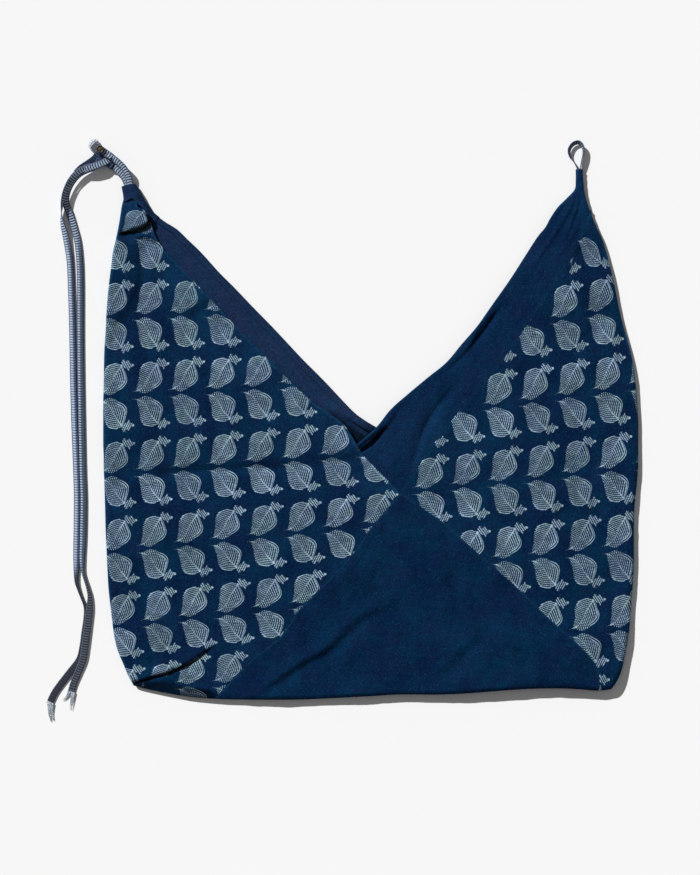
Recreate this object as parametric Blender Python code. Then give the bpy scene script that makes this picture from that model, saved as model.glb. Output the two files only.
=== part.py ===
"""Tsuno bag: a two-horned cloth bag lying flat on its back.

Two printed panels wrap the left and right sides.  A plain base square is folded
along the bottom.  A plain band runs along the mouth on the front right and,
turned half round, on the back left; each band also wraps the tip of its horn.
The left horn holds two tie tapes with one knot, the right horn a tape loop.

Frame: +X to the right, +Y towards the horns, +Z up from the surface.
Tables give millimetres from the lower left corner of the lying bag.
"""
import math
from collections import namedtuple

import bmesh
import bpy
from mathutils import Vector

MM = 0.001
WELD = 0.00002             # metres; points closer than this are one point
BAG_WIDTH = 556.0          # side to side
BAG_HEIGHT = 580.28        # bottom edge to the top of the hanging loop
CLOTH = 1.0                # one layer of cloth
TAPE_THICK = 0.9
TIE_WIDTH = 7.5
LOOP_WIDTH = 6.0
SEAM_GAP = 0.3             # kept on each side of a seam, along the section
LAYER_GAP = 0.5            # least air between front and back cloth
FOLD_STEPS = (0.0, 0.05, 0.28, 0.62, 1.0)  # column places across the rounded side fold
SIDE_COLUMNS = 6           # even columns between a side fold and the seam
BASE_COLUMNS = 13
BAND_COLUMNS = 4
TIP_SHARES = (0.0, 0.03, 0.1, 0.22, 0.5, 0.78, 0.9, 0.97, 1.0)  # across a horn's tip
SAG_REACH = 80.0           # height over which rows bend to follow the bottom edge
ROUTE_STEP = 8.0           # spacing of the rings along a long tape
SHORT_STEP = 5.0
LOOP_STEP = 3.0
BIGHT_STEP = 2.5
ROUTE_SAMPLES = 12         # samples of the smooth curve between two route points

# One section across a printed panel: its front edge, the side fold, its back edge,
# and the free edge of the band that is sewn to the panel there.
Section = namedtuple("Section", "front_x front_y side_x side_y back_x back_y band_x band_y")
# One row across the wrapped tip of a horn: the lip and the side fold.
TipRow = namedtuple("TipRow", "lip_x lip_y side_x side_y")
# How far the bag is filled out at a place, and how wide its side fold is rounded.
Puff = namedtuple("Puff", "place x y height fold_width")
# A soft ridge (positive) or trough (negative) of the front cloth.
Fold = namedtuple("Fold", "name depth width line")
# A point on a tape: roll 0 lies flat, 90 stands on edge.
RoutePoint = namedtuple("RoutePoint", "x y z roll")

LEFT_ABOVE = [
    Section(36, 512, 19, 512, 24.5, 512, 47.5, 512.5),
    Section(46.5, 505, 18, 505, 26.5, 505, 53, 505),
    Section(50, 492.5, 16, 492.5, 31.5, 492.5, 64, 496.5),
    Section(56, 478, 13, 478, 38, 478, 76, 489),
    Section(65, 465.5, 10, 465.5, 46.5, 465.5, 87.5, 478),
    Section(80, 449, 8, 449, 59, 449, 101, 465),
    Section(99.5, 429, 5.5, 429, 74.5, 429, 119, 445),
    Section(121, 406, 3.5, 406, 93, 406, 136, 428),
    Section(141, 384.5, 2.5, 384.5, 111, 384.5, 156, 407),
    Section(165, 360.5, 1, 360.5, 132.5, 360.5, 177.5, 385),
    Section(197, 328, 0.5, 328, 163, 328, 206, 354.5),
    Section(216, 310.5, 0, 310.5, 180.5, 310.5, 222.5, 338),
    Section(235.5, 297, 0, 297, 194, 297, 236, 324),
    Section(251, 284.5, 0, 284.5, 207.5, 284.5, 249, 310),
    Section(263.5, 265.5, 0, 265.5, 227, 265.5, 262, 297),
    Section(271, 253, 0.5, 253, 242, 253, 274, 288.5),
    Section(282.5, 241, 0.5, 241, 257.5, 241, 289, 279),
    Section(294, 229.5, 1, 229.5, 275, 229.5, 306, 262),
    Section(308.5, 215, 1.5, 215, 308.5, 215, 332, 237),
]
# Below the middle of the bag front and back edges of a panel are one seam line.
LEFT_SEAM = [
    (291.5, 194, 2, 196),
    (275, 174, 2.5, 176.5),
    (258.5, 150.5, 3.5, 154.5),
    (236.5, 127.5, 4.5, 132.5),
    (219, 108.5, 5.5, 115),
    (200, 89, 7.5, 97),
    (187.5, 69, 9.5, 79.5),
    (173, 56.5, 11.5, 65),
    (156.5, 44, 15, 50.5),
    (142, 29.5, 20.5, 37),
    (129.5, 16, 25.5, 24.5),
    (116, 0.5, 31.5, 13),
]
RIGHT_ABOVE = [
    Section(504, 501, 508, 502, 501, 501, 465, 500.5),
    Section(500, 488.5, 513, 490.5, 496, 488.5, 459.5, 490.5),
    Section(492.5, 475, 519, 477, 489.5, 475, 451, 480),
    Section(480, 455, 525.5, 455, 479, 455, 437.5, 459),
    Section(465.5, 430, 531.5, 430, 462.5, 430, 422, 435),
    Section(445.5, 398, 537.5, 400, 440.5, 398, 404, 409.5),
    Section(426, 367.5, 546, 369.5, 418.5, 367.5, 388.5, 387.5),
    Section(409, 346, 551, 348, 403, 346, 372.5, 369),
    Section(391.5, 325, 553.5, 327, 388.5, 325, 356.5, 350),
    Section(375, 306.5, 555, 307.5, 375, 306.5, 338, 335),
    Section(359.5, 286.5, 556, 288.5, 361.5, 286.5, 317, 317.5),
    Section(345, 268, 556, 270, 348.5, 263.5, 299, 301.5),
    Section(327, 242, 556, 243, 333.5, 236.5, 284, 283),
    Section(308.5, 215, 554, 218, 308.5, 215, 263.5, 264.5),
]
RIGHT_SEAM = [
    (329, 201, 552, 198),
    (354, 183.5, 551.5, 175),
    (379, 161.5, 551.5, 151),
    (404.5, 139, 551, 129),
    (431, 115.5, 549.5, 108.5),
    (456, 91, 548, 88),
    (478, 71, 546, 68),
    (496, 54.5, 543.5, 52),
    (508, 41, 540.5, 38),
    (514, 29.5, 537.5, 27),
    (515.5, 19, 533, 18),
    (514.5, 9.5, 528, 11),
]
# The bands wrap the tips of the horns above the printed panels.
LEFT_TIP = [
    TipRow(32.5, 536.5, 19, 533.5),
    TipRow(37.5, 529, 20.5, 525.5),
    TipRow(42.5, 520, 21, 518),
]
RIGHT_TIP = [
    TipRow(491.7, 551.5, 498.3, 551.5),
    TipRow(491.7, 540.5, 498.8, 540.5),
    TipRow(490.5, 530.5, 500, 529),
    TipRow(481.5, 520.5, 503, 516.5),
    TipRow(472.5, 511.5, 506.5, 505),
]
LAP_START = 14             # left section where its front edge meets the front band's end

BOTTOM_EDGE = [
    (31.5, 13), (43, 7), (59, 3), (79.5, 1.5), (116, 0.5), (194, 0), (235.5, 1.5),
    (282.5, 4), (308.5, 5.5), (350, 5.5), (381, 7), (412.5, 9.5), (443.5, 11.5),
    (475, 12), (495.5, 11), (514.5, 9.5), (528, 11),
]

PUFF_BLUR = 5.0            # how softly one puff takes over from the next
PUFFS = [
    Puff("left neck", 26, 535, 5.6, 1.8),
    Puff("left neck root", 30, 524, 5.6, 2.0),
    Puff("left horn pleat", 30.5, 504, 7.5, 3.0),
    Puff("below the pleat", 50.5, 486, 4.5, 3.0),
    Puff("left shoulder", 33, 415.5, 6.0, 3.5),
    Puff("left middle", 48.5, 259.5, 8.0, 4.5),
    Puff("lower left", 48.5, 82.5, 7.0, 4.5),
    Puff("bottom left corner", 48.5, 20.5, 5.5, 4.0),
    Puff("bottom middle", 183.5, 41, 8.0, 4.5),
    Puff("middle", 235.5, 166, 10.0, 5.0),
    Puff("crossing", 308.5, 215, 10.0, 5.0),
    Puff("notch", 285.5, 280.5, 8.5, 5.0),
    Puff("left mouth", 165, 348, 8.0, 5.0),
    Puff("upper left mouth", 90, 426, 6.0, 4.0),
    Puff("right middle", 433, 166, 10.5, 5.5),
    Puff("lower right", 485, 41, 12.0, 6.5),
    Puff("right side", 537, 207.5, 10.0, 5.0),
    Puff("upper right", 506, 384.5, 9.0, 4.5),
    Puff("right horn", 485, 467.5, 7.5, 4.0),
    Puff("right neck", 495, 540.5, 8.4, 1.2),
    Puff("right neck root", 493, 522, 8.4, 1.8),
    Puff("right mouth", 350, 348, 6.5, 5.0),
    Puff("upper right mouth", 438.5, 455, 6.0, 4.0),
]

FOLDS = [
    Fold("lower left tuck", -3.0, 6.0, [(33, 19), (70, 29.5), (92, 40), (111, 54.5)]),
    Fold("slanting crease", -2.2, 8.0, [(173, 14), (204.5, 36), (235.5, 53.5), (267, 85)]),
    Fold("left horn pleat", 2.5, 7.0, [(17, 496.5), (44, 507)]),
    Fold("under the pleat", -2.2, 5.0, [(16, 480), (51.5, 503)]),
    Fold("right horn gather", -1.2, 4.0, [(494.5, 520), (478, 496.5), (459, 465.5)]),
    Fold("hem at the notch", 1.8, 5.0, [(263.5, 264.5), (285.5, 283.5)]),
    Fold("beside the hem", -2.2, 4.5, [(273, 262.5), (294, 282.5)]),
    Fold("rolled mouth edge", -1.8, 6.0, [(381, 379), (395.5, 399)]),
    Fold("band crease", -1.8, 7.0, [(360.5, 334.5), (346, 305), (333.5, 284.5), (319, 255.5)]),
]

# The two tie tapes, from inside the left neck to their cut ends.
UPPER_TIE_TO_KNOT = [
    RoutePoint(29.5, 526.0, 4.1, 0), RoutePoint(27.4, 536.0, 4.2, 0),
    RoutePoint(25.8, 544.0, 5.6, 15), RoutePoint(21.8, 552.0, 7.2, 30),
    RoutePoint(15.0, 559.0, 7.6, 30), RoutePoint(8.5, 563.6, 6.6, 15),
    RoutePoint(4.0, 566.1, 6.0, 8),
]
LOWER_TIE_TO_KNOT = [
    RoutePoint(26.5, 526.0, 2.8, 0), RoutePoint(24.4, 535.0, 2.8, 0),
    RoutePoint(19.5, 543.0, 2.6, 0), RoutePoint(13.0, 549.5, 2.8, 8),
    RoutePoint(7.2, 554.2, 3.4, 12), RoutePoint(2.8, 557.3, 3.6, 12),
]
LEFT_TIE_TO_END = [
    RoutePoint(-11.6, 554.8, 6.4, 20), RoutePoint(-19, 551.2, 6.8, 30),
    RoutePoint(-25.5, 547.7, 6.6, 45), RoutePoint(-31, 542.5, 6.6, 50),
    RoutePoint(-36, 535, 6.4, 55), RoutePoint(-39.5, 526, 6.0, 55),
    RoutePoint(-41.7, 516.5, 5.2, 50), RoutePoint(-42.2, 507, 4.6, 45),
    RoutePoint(-41.6, 496.5, 3.8, 40), RoutePoint(-40.0, 482, 3.2, 36),
    RoutePoint(-37.6, 465.5, 3.0, 34), RoutePoint(-35.4, 446.5, 3.0, 34),
    RoutePoint(-33.6, 415.5, 3.0, 34), RoutePoint(-32.6, 379, 3.0, 34),
    RoutePoint(-32, 332.5, 3.0, 34), RoutePoint(-31.5, 280.5, 3.0, 34),
    RoutePoint(-30.2, 238.5, 3.0, 34), RoutePoint(-29, 207.5, 3.0, 34),
    RoutePoint(-29.2, 171, 3.0, 34), RoutePoint(-30, 147, 3.4, 42),
    RoutePoint(-29, 128, 4.4, 70), RoutePoint(-25.5, 111, 4.5, 78),
    RoutePoint(-20.8, 96, 3.6, 45), RoutePoint(-18.4, 80.5, 1.9, 5),
    RoutePoint(-19.5, 62, 1.0, 0), RoutePoint(-24.5, 45, 1.0, 0),
    RoutePoint(-32.5, 30, 1.0, 0), RoutePoint(-41, 17.5, 1.0, 0),
    RoutePoint(-49.5, 5.5, 1.0, 0), RoutePoint(-54.5, -3, 1.0, 0),
]
RIGHT_TIE_TO_END = [
    RoutePoint(-11.4, 554.6, 3.2, 4), RoutePoint(-18.5, 551.6, 2.0, 6),
    RoutePoint(-27, 545.5, 1.5, 6), RoutePoint(-32.0, 537.5, 1.5, 6),
    RoutePoint(-34.2, 528, 1.3, 4), RoutePoint(-34.9, 517.5, 1.3, 4),
    RoutePoint(-34.2, 506, 1.7, 12), RoutePoint(-32.2, 493, 2.3, 26),
    RoutePoint(-29.6, 478, 2.8, 34), RoutePoint(-27.4, 461, 3.0, 36),
    RoutePoint(-26.0, 441.5, 3.0, 36), RoutePoint(-25.2, 415.5, 3.0, 36),
    RoutePoint(-24.6, 379, 3.0, 36), RoutePoint(-24.2, 332.5, 3.0, 36),
    RoutePoint(-23.8, 280.5, 3.0, 36), RoutePoint(-22.6, 238.5, 3.0, 36),
    RoutePoint(-21.4, 207.5, 3.0, 36), RoutePoint(-22, 171, 3.0, 36),
    RoutePoint(-22.4, 147, 3.2, 38), RoutePoint(-20, 127, 4.4, 66),
    RoutePoint(-15.8, 109, 4.5, 78), RoutePoint(-13.8, 94, 4.8, 50),
    RoutePoint(-14, 78, 4.4, 12), RoutePoint(-14.8, 58, 3.0, 4),
    RoutePoint(-18.2, 41, 2.5, 0), RoutePoint(-24.5, 26.5, 2.4, 0),
    RoutePoint(-31, 13.5, 2.0, 0), RoutePoint(-33.5, 7.5, 1.8, 0),
]
# A short bight of tape stands on edge beside the knot.
KNOT_BIGHT = [
    RoutePoint(-8.5, 568.8, 4.3, 90), RoutePoint(-12.6, 572.0, 4.3, 90),
    RoutePoint(-13.6, 577.0, 4.3, 90), RoutePoint(-10.8, 580.6, 4.3, 90),
    RoutePoint(-7.4, 580.2, 4.3, 90), RoutePoint(-6.3, 577.0, 4.3, 90),
]
HANGING_LOOP = [
    RoutePoint(494.25, 534.0, 4.7, 90), RoutePoint(494.25, 549.0, 4.7, 90),
    RoutePoint(490.2, 558.0, 4.3, 90), RoutePoint(485.8, 564.5, 3.7, 90),
    RoutePoint(484.6, 571.5, 3.5, 90), RoutePoint(488.2, 578.0, 3.4, 90),
    RoutePoint(494.0, 580.4, 3.4, 90), RoutePoint(498.8, 576.2, 3.4, 90),
    RoutePoint(499.2, 569.0, 3.5, 90), RoutePoint(497.4, 559.5, 4.2, 90),
    RoutePoint(495.75, 549.0, 4.7, 90), RoutePoint(495.75, 534.0, 4.7, 90),
]

KNOT_CENTRE = (-5.0, 560.5, 4.8)
KNOT_RADII = (7.4, 9.6, 4.6)
KNOT_TURN = -10.0          # degrees, the knot's long axis from +Y
KNOT_TURNS = 6.0           # how closely the turns of tape follow one another
KNOT_SWELL = 0.06          # how far they stand out, as a share
STUD_CENTRE = (-2.9, 571.6)
STUD_RADIUS = 3.9
STUD_BOTTOM = 8.0
STUD_HEIGHT = 2.8
STUD_RIM = 0.6

BASE_FOLD_MIDDLE = (235.5, 10.0)
LIP_LEAST = 0.30           # share of the puff that stays open between a neck's lips

INDIGO = (0.011, 0.036, 0.105, 1.0)
INDIGO_BAND = (0.018, 0.045, 0.110, 1.0)
TAPE_GREY = (0.19, 0.23, 0.30, 1.0)
HORN_BROWN = (0.030, 0.020, 0.014, 1.0)
CLOTH_ROUGHNESS = 0.85
TAPE_ROUGHNESS = 0.8
HORN_ROUGHNESS = 0.4


def place(x, y, z=0.0):
    """Millimetres from the bag's lower left corner to metres in the part's frame."""
    return Vector(((x - BAG_WIDTH / 2) * MM, (y - BAG_HEIGHT / 2) * MM, z * MM))


def clear_scene():
    for item in list(bpy.data.objects):
        bpy.data.objects.remove(item, do_unlink=True)


def make_material(name, colour, roughness):
    material = bpy.data.materials.new(name)
    material.use_nodes = True
    shader = material.node_tree.nodes["Principled BSDF"]
    shader.inputs["Base Color"].default_value = colour
    shader.inputs["Roughness"].default_value = roughness
    shader.inputs["Metallic"].default_value = 0.0
    return material


def distance_to_line(x, y, line):
    """Shortest distance in the plane from a point to a broken line."""
    best = math.inf
    for (ax, ay), (bx, by) in zip(line, line[1:]):
        dx, dy = bx - ax, by - ay
        along = ((x - ax) * dx + (y - ay) * dy) / (dx * dx + dy * dy)
        along = min(1.0, max(0.0, along))
        best = min(best, math.hypot(x - ax - along * dx, y - ay - along * dy))
    return best


def side_line(tip, above, seam):
    """The closed side of the bag from the tip of a horn down to the bottom corner."""
    points = [(row.side_x, row.side_y) for row in list(tip) + list(above)]
    return points + [(side_x, side_y) for _, _, side_x, side_y in seam]


LEFT_SIDE = side_line(LEFT_TIP, LEFT_ABOVE, LEFT_SEAM)
RIGHT_SIDE = side_line(RIGHT_TIP, RIGHT_ABOVE, RIGHT_SEAM)
CLOSED_EDGE = LEFT_SIDE + BOTTOM_EDGE[1:-1] + RIGHT_SIDE[::-1]
LEFT_NECK_LIP = [(row.lip_x, row.lip_y) for row in LEFT_TIP]
RIGHT_NECK_LIP = [(row.lip_x, row.lip_y) for row in RIGHT_TIP[:-1]]


def puff_at(x, y):
    """Height between the cloths, and width of the rounded fold, at a place."""
    weight_sum = height_sum = width_sum = 0.0
    for puff in PUFFS:
        weight = (PUFF_BLUR ** 2 + (x - puff.x) ** 2 + (y - puff.y) ** 2) ** -1.5
        weight_sum += weight
        height_sum += weight * puff.height
        width_sum += weight * puff.fold_width
    return height_sum / weight_sum, width_sum / weight_sum


def rounded(distance, width):
    """Quarter-ellipse profile: 0 at the fold, 1 from one fold width inwards."""
    if distance >= width:
        return 1.0
    return math.sqrt(max(0.0, 1.0 - (1.0 - distance / width) ** 2))


def layer_heights(x, y):
    """Mid-surface heights of the back and front cloth at a place."""
    height, width = puff_at(x, y)
    closed = rounded(distance_to_line(x, y, CLOSED_EDGE), width)
    lip_distance = min(distance_to_line(x, y, LEFT_NECK_LIP),
                       distance_to_line(x, y, RIGHT_NECK_LIP))
    lip = max(LIP_LEAST, rounded(lip_distance, width))
    half = 0.5 * height * closed * lip
    middle = 0.5 * CLOTH + 0.5 * height
    back, front = middle - half, middle + half
    relief = sum(fold.depth * math.exp(-(distance_to_line(x, y, fold.line) / fold.width) ** 2)
                 for fold in FOLDS)
    front += relief * closed ** 2 * lip
    if half > CLOTH:
        front = max(front, back + CLOTH + LAYER_GAP)
    return back, front


def cloth_point(x, y, side):
    back, front = layer_heights(x, y)
    return place(x, y, front if side == "front" else back)


def mix(a, b, share):
    return a + (b - a) * share


def side_shares(span, width):
    """Shares of the way from a side fold to the far edge, close set at the fold."""
    edge = min(width, span / 3.0)
    near = [edge * step for step in FOLD_STEPS]
    far = [mix(edge, span, (i + 1) / SIDE_COLUMNS) for i in range(SIDE_COLUMNS)]
    return [distance / span for distance in near + far]


def pull_in(x, y, towards_x, towards_y):
    """Move an edge point a seam gap towards a point inside its own piece."""
    span = math.hypot(towards_x - x, towards_y - y)
    if span < 3.0 * SEAM_GAP:
        return x, y
    share = SEAM_GAP / span
    return mix(x, towards_x, share), mix(y, towards_y, share)


def with_bottom_rows(rows, fold_width):
    """Add close-set rows just above the last row, which is the bottom fold."""
    above, last = rows[-2], rows[-1]
    drop = math.hypot(above[0] - last[0], above[1] - last[1])
    extra = []
    for step in FOLD_STEPS[:0:-1]:
        share = 1.0 - step * fold_width / drop
        extra.append(tuple(mix(a, b, share) for a, b in zip(above, last)))
    return rows[:-1] + extra + [last]


def bottom_y(x):
    """Height of the bottom edge of the bag at x."""
    for (ax, ay), (bx, by) in zip(BOTTOM_EDGE, BOTTOM_EDGE[1:]):
        if x <= bx:
            return mix(ay, by, max(0.0, (x - ax) / (bx - ax)))
    return BOTTOM_EDGE[-1][1]


def sagged(point, row, last_row):
    """A point of a row, drawn down so that the last row lies on the bottom edge."""
    x, y = point
    start_x, start_y, end_x, end_y = last_row[:4]
    lift = 0.5 * (row[1] + row[3] - start_y - end_y)
    weight = max(0.0, 1.0 - lift / SAG_REACH) ** 2
    share = (x - start_x) / (end_x - start_x)
    share = min(1.0, max(0.0, share))
    return x, y + weight * (bottom_y(x) - mix(start_y, end_y, share))


def sheet_object(name, grids, colour):
    """One cloth piece from grids of mid-surface points, thickened both ways."""
    shape = bmesh.new()
    for grid in grids:
        rows = [[shape.verts.new(point) for point in row] for row in grid]
        for upper, lower in zip(rows, rows[1:]):
            for i in range(len(upper) - 1):
                shape.faces.new((upper[i], lower[i], lower[i + 1], upper[i + 1]))
    bmesh.ops.remove_doubles(shape, verts=shape.verts, dist=WELD)
    bmesh.ops.recalc_face_normals(shape, faces=shape.faces)
    mesh = bpy.data.meshes.new(name)
    shape.to_mesh(mesh)
    shape.free()
    piece = bpy.data.objects.new(name, mesh)
    bpy.context.collection.objects.link(piece)
    mesh.materials.append(make_material(name + "_cloth", colour, CLOTH_ROUGHNESS))
    wall = piece.modifiers.new("cloth thickness", "SOLIDIFY")
    wall.thickness = CLOTH * MM
    wall.offset = 0.0
    return piece


def panel_grid(above, seam):
    """A panel that wraps one side: front sheet, side fold and back sheet in each row."""
    rows = [tuple(row)[:6] for row in above]
    seam_rows = [(sx, sy, ex, ey, sx, sy) for sx, sy, ex, ey in seam]
    corner_width = puff_at(seam[-1][2], seam[-1][3])[1]
    rows += with_bottom_rows(seam_rows, corner_width)
    grid = []
    for row in rows:
        side = row[2:4]
        width = puff_at(*side)[1]
        halves = []
        for edge in (row[0:2], row[4:6]):
            edge = pull_in(*edge, *side)
            line = [(mix(side[0], edge[0], share), mix(side[1], edge[1], share))
                    for share in side_shares(math.dist(edge, side), width)]
            halves.append([sagged(point, row, rows[-1]) for point in line])
        front, back = halves
        grid.append([cloth_point(x, y, "front") for x, y in reversed(front)]
                    + [cloth_point(x, y, "back") for x, y in back[1:]])
    return grid


def make_left_panel():
    return sheet_object("left_panel", [panel_grid(LEFT_ABOVE, LEFT_SEAM)], INDIGO)


def make_right_panel():
    return sheet_object("right_panel", [panel_grid(RIGHT_ABOVE, RIGHT_SEAM)], INDIGO)


def make_base_panel():
    """The base square, folded on its diagonal along the bottom of the bag."""
    seam_rows = [(left[0], left[1], right[0], right[1])
                 for left, right in zip(LEFT_SEAM, RIGHT_SEAM)]
    seam_rows = with_bottom_rows(seam_rows, puff_at(*BASE_FOLD_MIDDLE)[1])
    apex = (LEFT_ABOVE[-1].front_x, LEFT_ABOVE[-1].front_y - 2.0 * SEAM_GAP)
    rows = [[apex] * (BASE_COLUMNS + 1)]
    for row in seam_rows:
        start = pull_in(*row[0:2], *row[2:4])
        end = pull_in(*row[2:4], *row[0:2])
        shares = [column / BASE_COLUMNS for column in range(BASE_COLUMNS + 1)]
        line = [(mix(start[0], end[0], share), mix(start[1], end[1], share)) for share in shares]
        rows.append([sagged(point, row, seam_rows[-1]) for point in line])
    front = [[cloth_point(x, y, "front") for x, y in row] for row in rows]
    back = [[cloth_point(x, y, "back") for x, y in row] for row in rows]
    return sheet_object("base_panel", [front + back[-2::-1]], INDIGO)


def band_row_points(free, sewn, side):
    start = pull_in(*free, *sewn)
    end = pull_in(*sewn, *free)
    shares = [i / BAND_COLUMNS for i in range(BAND_COLUMNS + 1)]
    return [cloth_point(mix(start[0], end[0], s), mix(start[1], end[1], s), side) for s in shares]


def tip_row_points(row):
    """A row that goes right round a horn's tip, from lip to lip."""
    line = [(mix(row.lip_x, row.side_x, share), mix(row.lip_y, row.side_y, share))
            for share in TIP_SHARES]
    front = [cloth_point(x, y, "front") for x, y in line]
    back = [cloth_point(x, y, "back") for x, y in reversed(line)]
    return front + back[1:]


def band_grids(tip_rows, flat_rows, joined_half):
    """The wrapped tip, the flat part, and the faces that join one to the other."""
    tip = [tip_row_points(row) for row in tip_rows]
    fan = [flat_rows[0][i // 2] for i in range(2 * BAND_COLUMNS + 1)]
    return [tip, [joined_half(tip[-1]), fan], flat_rows]


def front_half(tip_row):
    return tip_row[:len(TIP_SHARES)]


def back_half(tip_row):
    return tip_row[:-len(TIP_SHARES) - 1:-1]


def make_back_band():
    """Plain band on the back left: it shows inside the mouth and wraps the left tip."""
    rows = [band_row_points((row.band_x, row.band_y), (row.back_x, row.back_y), "back")
            for row in LEFT_ABOVE[:-1]]
    last = LEFT_ABOVE[-1]
    free = (last.band_x - 2.0 * SEAM_GAP, last.band_y + 2.0 * SEAM_GAP)
    sewn = (last.back_x - 2.0 * SEAM_GAP, last.back_y + 2.0 * SEAM_GAP)
    rows.append(band_row_points(free, sewn, "back"))
    return sheet_object("back_band", band_grids(LEFT_TIP, rows, back_half), INDIGO_BAND)


def make_front_band():
    """Plain band on the front right: it wraps the right tip and ends under the left flap."""
    rows = [band_row_points((row.band_x, row.band_y), (row.front_x, row.front_y), "front")
            for row in RIGHT_ABOVE[:-1]]
    lap = [(row.front_x + SEAM_GAP, row.front_y + 2.0 * SEAM_GAP)
           for row in LEFT_ABOVE[LAP_START:]]
    rows.append([cloth_point(x, y, "front") for x, y in lap])
    return sheet_object("front_band", band_grids(RIGHT_TIP, rows, front_half), INDIGO_BAND)


def smooth_route(route, step):
    """Catmull-Rom curve through route points, resampled at an even step."""
    points = [Vector((p.x, p.y, p.z, p.roll)) for p in route]
    padded = [points[0] * 2 - points[1]] + points + [points[-1] * 2 - points[-2]]
    fine = []
    for a, b, c, d in zip(padded, padded[1:], padded[2:], padded[3:]):
        for i in range(ROUTE_SAMPLES):
            t = i / ROUTE_SAMPLES
            fine.append(0.5 * (2 * b + (c - a) * t + (2 * a - 5 * b + 4 * c - d) * t * t
                               + (3 * b - 3 * c + d - a) * t ** 3))
    fine.append(points[-1])
    lengths = [0.0]
    for a, b in zip(fine, fine[1:]):
        lengths.append(lengths[-1] + (b.xyz - a.xyz).length)
    count = max(2, round(lengths[-1] / step))
    samples, at = [], 0
    for i in range(count + 1):
        target = lengths[-1] * i / count
        while at < len(fine) - 2 and lengths[at + 1] < target:
            at += 1
        span = lengths[at + 1] - lengths[at]
        samples.append(fine[at].lerp(fine[at + 1], (target - lengths[at]) / span))
    return samples


def tape_object(name, route, width, step):
    """A flat tape: a thin rectangle carried along the route and rolled as it goes."""
    samples = smooth_route(route, step)
    shape = bmesh.new()
    rings = []
    for i, sample in enumerate(samples):
        before, after = samples[max(0, i - 1)], samples[min(len(samples) - 1, i + 1)]
        along = (after.xyz - before.xyz).normalized()
        across = along.cross(Vector((0, 0, 1))).normalized()
        face = across.cross(along).normalized()
        roll = math.radians(sample.w)
        wide = (across * math.cos(roll) + face * math.sin(roll)) * (width / 2)
        thick = (face * math.cos(roll) - across * math.sin(roll)) * (TAPE_THICK / 2)
        corners = (wide + thick, wide - thick, -wide - thick, -wide + thick)
        rings.append([shape.verts.new(place(*(sample.xyz + corner))) for corner in corners])
    for ring, following in zip(rings, rings[1:]):
        for i in range(4):
            j = (i + 1) % 4
            shape.faces.new((ring[i], ring[j], following[j], following[i]))
    shape.faces.new(rings[0])
    shape.faces.new(rings[-1])
    bmesh.ops.recalc_face_normals(shape, faces=shape.faces)
    mesh = bpy.data.meshes.new(name)
    shape.to_mesh(mesh)
    shape.free()
    piece = bpy.data.objects.new(name, mesh)
    bpy.context.collection.objects.link(piece)
    mesh.materials.append(make_material(name + "_tape", TAPE_GREY, TAPE_ROUGHNESS))
    return piece


def make_knot():
    """The tied lump: a squashed ball with shallow turns of tape round it."""
    bpy.ops.mesh.primitive_uv_sphere_add(segments=20, ring_count=12, radius=1.0)
    knot = bpy.context.object
    knot.name = knot.data.name = "tie_knot"
    turn = math.radians(KNOT_TURN)
    across, along, up = KNOT_RADII
    for vertex in knot.data.vertices:
        x, y, z = vertex.co
        swell = 1.0 + KNOT_SWELL * math.cos(KNOT_TURNS * y + 2.0 * x)
        x, y, z = x * across * swell, y * along, z * up * swell
        vertex.co = place(KNOT_CENTRE[0] + x * math.cos(turn) - y * math.sin(turn),
                          KNOT_CENTRE[1] + x * math.sin(turn) + y * math.cos(turn),
                          max(0.0, KNOT_CENTRE[2] + z))
    knot.data.shade_smooth()
    knot.data.materials.append(make_material("knot_tape", TAPE_GREY, TAPE_ROUGHNESS))
    return knot


def make_stud():
    """Small dark round stud on the tape beside the knot."""
    bpy.ops.mesh.primitive_cylinder_add(vertices=24, radius=STUD_RADIUS * MM,
                                        depth=STUD_HEIGHT * MM)
    stud = bpy.context.object
    stud.name = stud.data.name = "stud"
    stud.location = place(*STUD_CENTRE, STUD_BOTTOM + STUD_HEIGHT / 2)
    rim = stud.modifiers.new("rounded rim", "BEVEL")
    rim.width = STUD_RIM * MM
    rim.segments = 2
    stud.data.materials.append(make_material("stud_horn", HORN_BROWN, HORN_ROUGHNESS))
    return stud


def main():
    clear_scene()
    make_left_panel()
    make_right_panel()
    make_base_panel()
    make_back_band()
    make_front_band()
    tape_object("upper_tie_to_knot", UPPER_TIE_TO_KNOT, TIE_WIDTH, SHORT_STEP)
    tape_object("lower_tie_to_knot", LOWER_TIE_TO_KNOT, TIE_WIDTH, SHORT_STEP)
    tape_object("left_tie_to_end", LEFT_TIE_TO_END, TIE_WIDTH, ROUTE_STEP)
    tape_object("right_tie_to_end", RIGHT_TIE_TO_END, TIE_WIDTH, ROUTE_STEP)
    tape_object("knot_bight", KNOT_BIGHT, TIE_WIDTH, BIGHT_STEP)
    tape_object("hanging_loop", HANGING_LOOP, LOOP_WIDTH, LOOP_STEP)
    make_knot()
    make_stud()


main()
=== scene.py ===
import math

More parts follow.
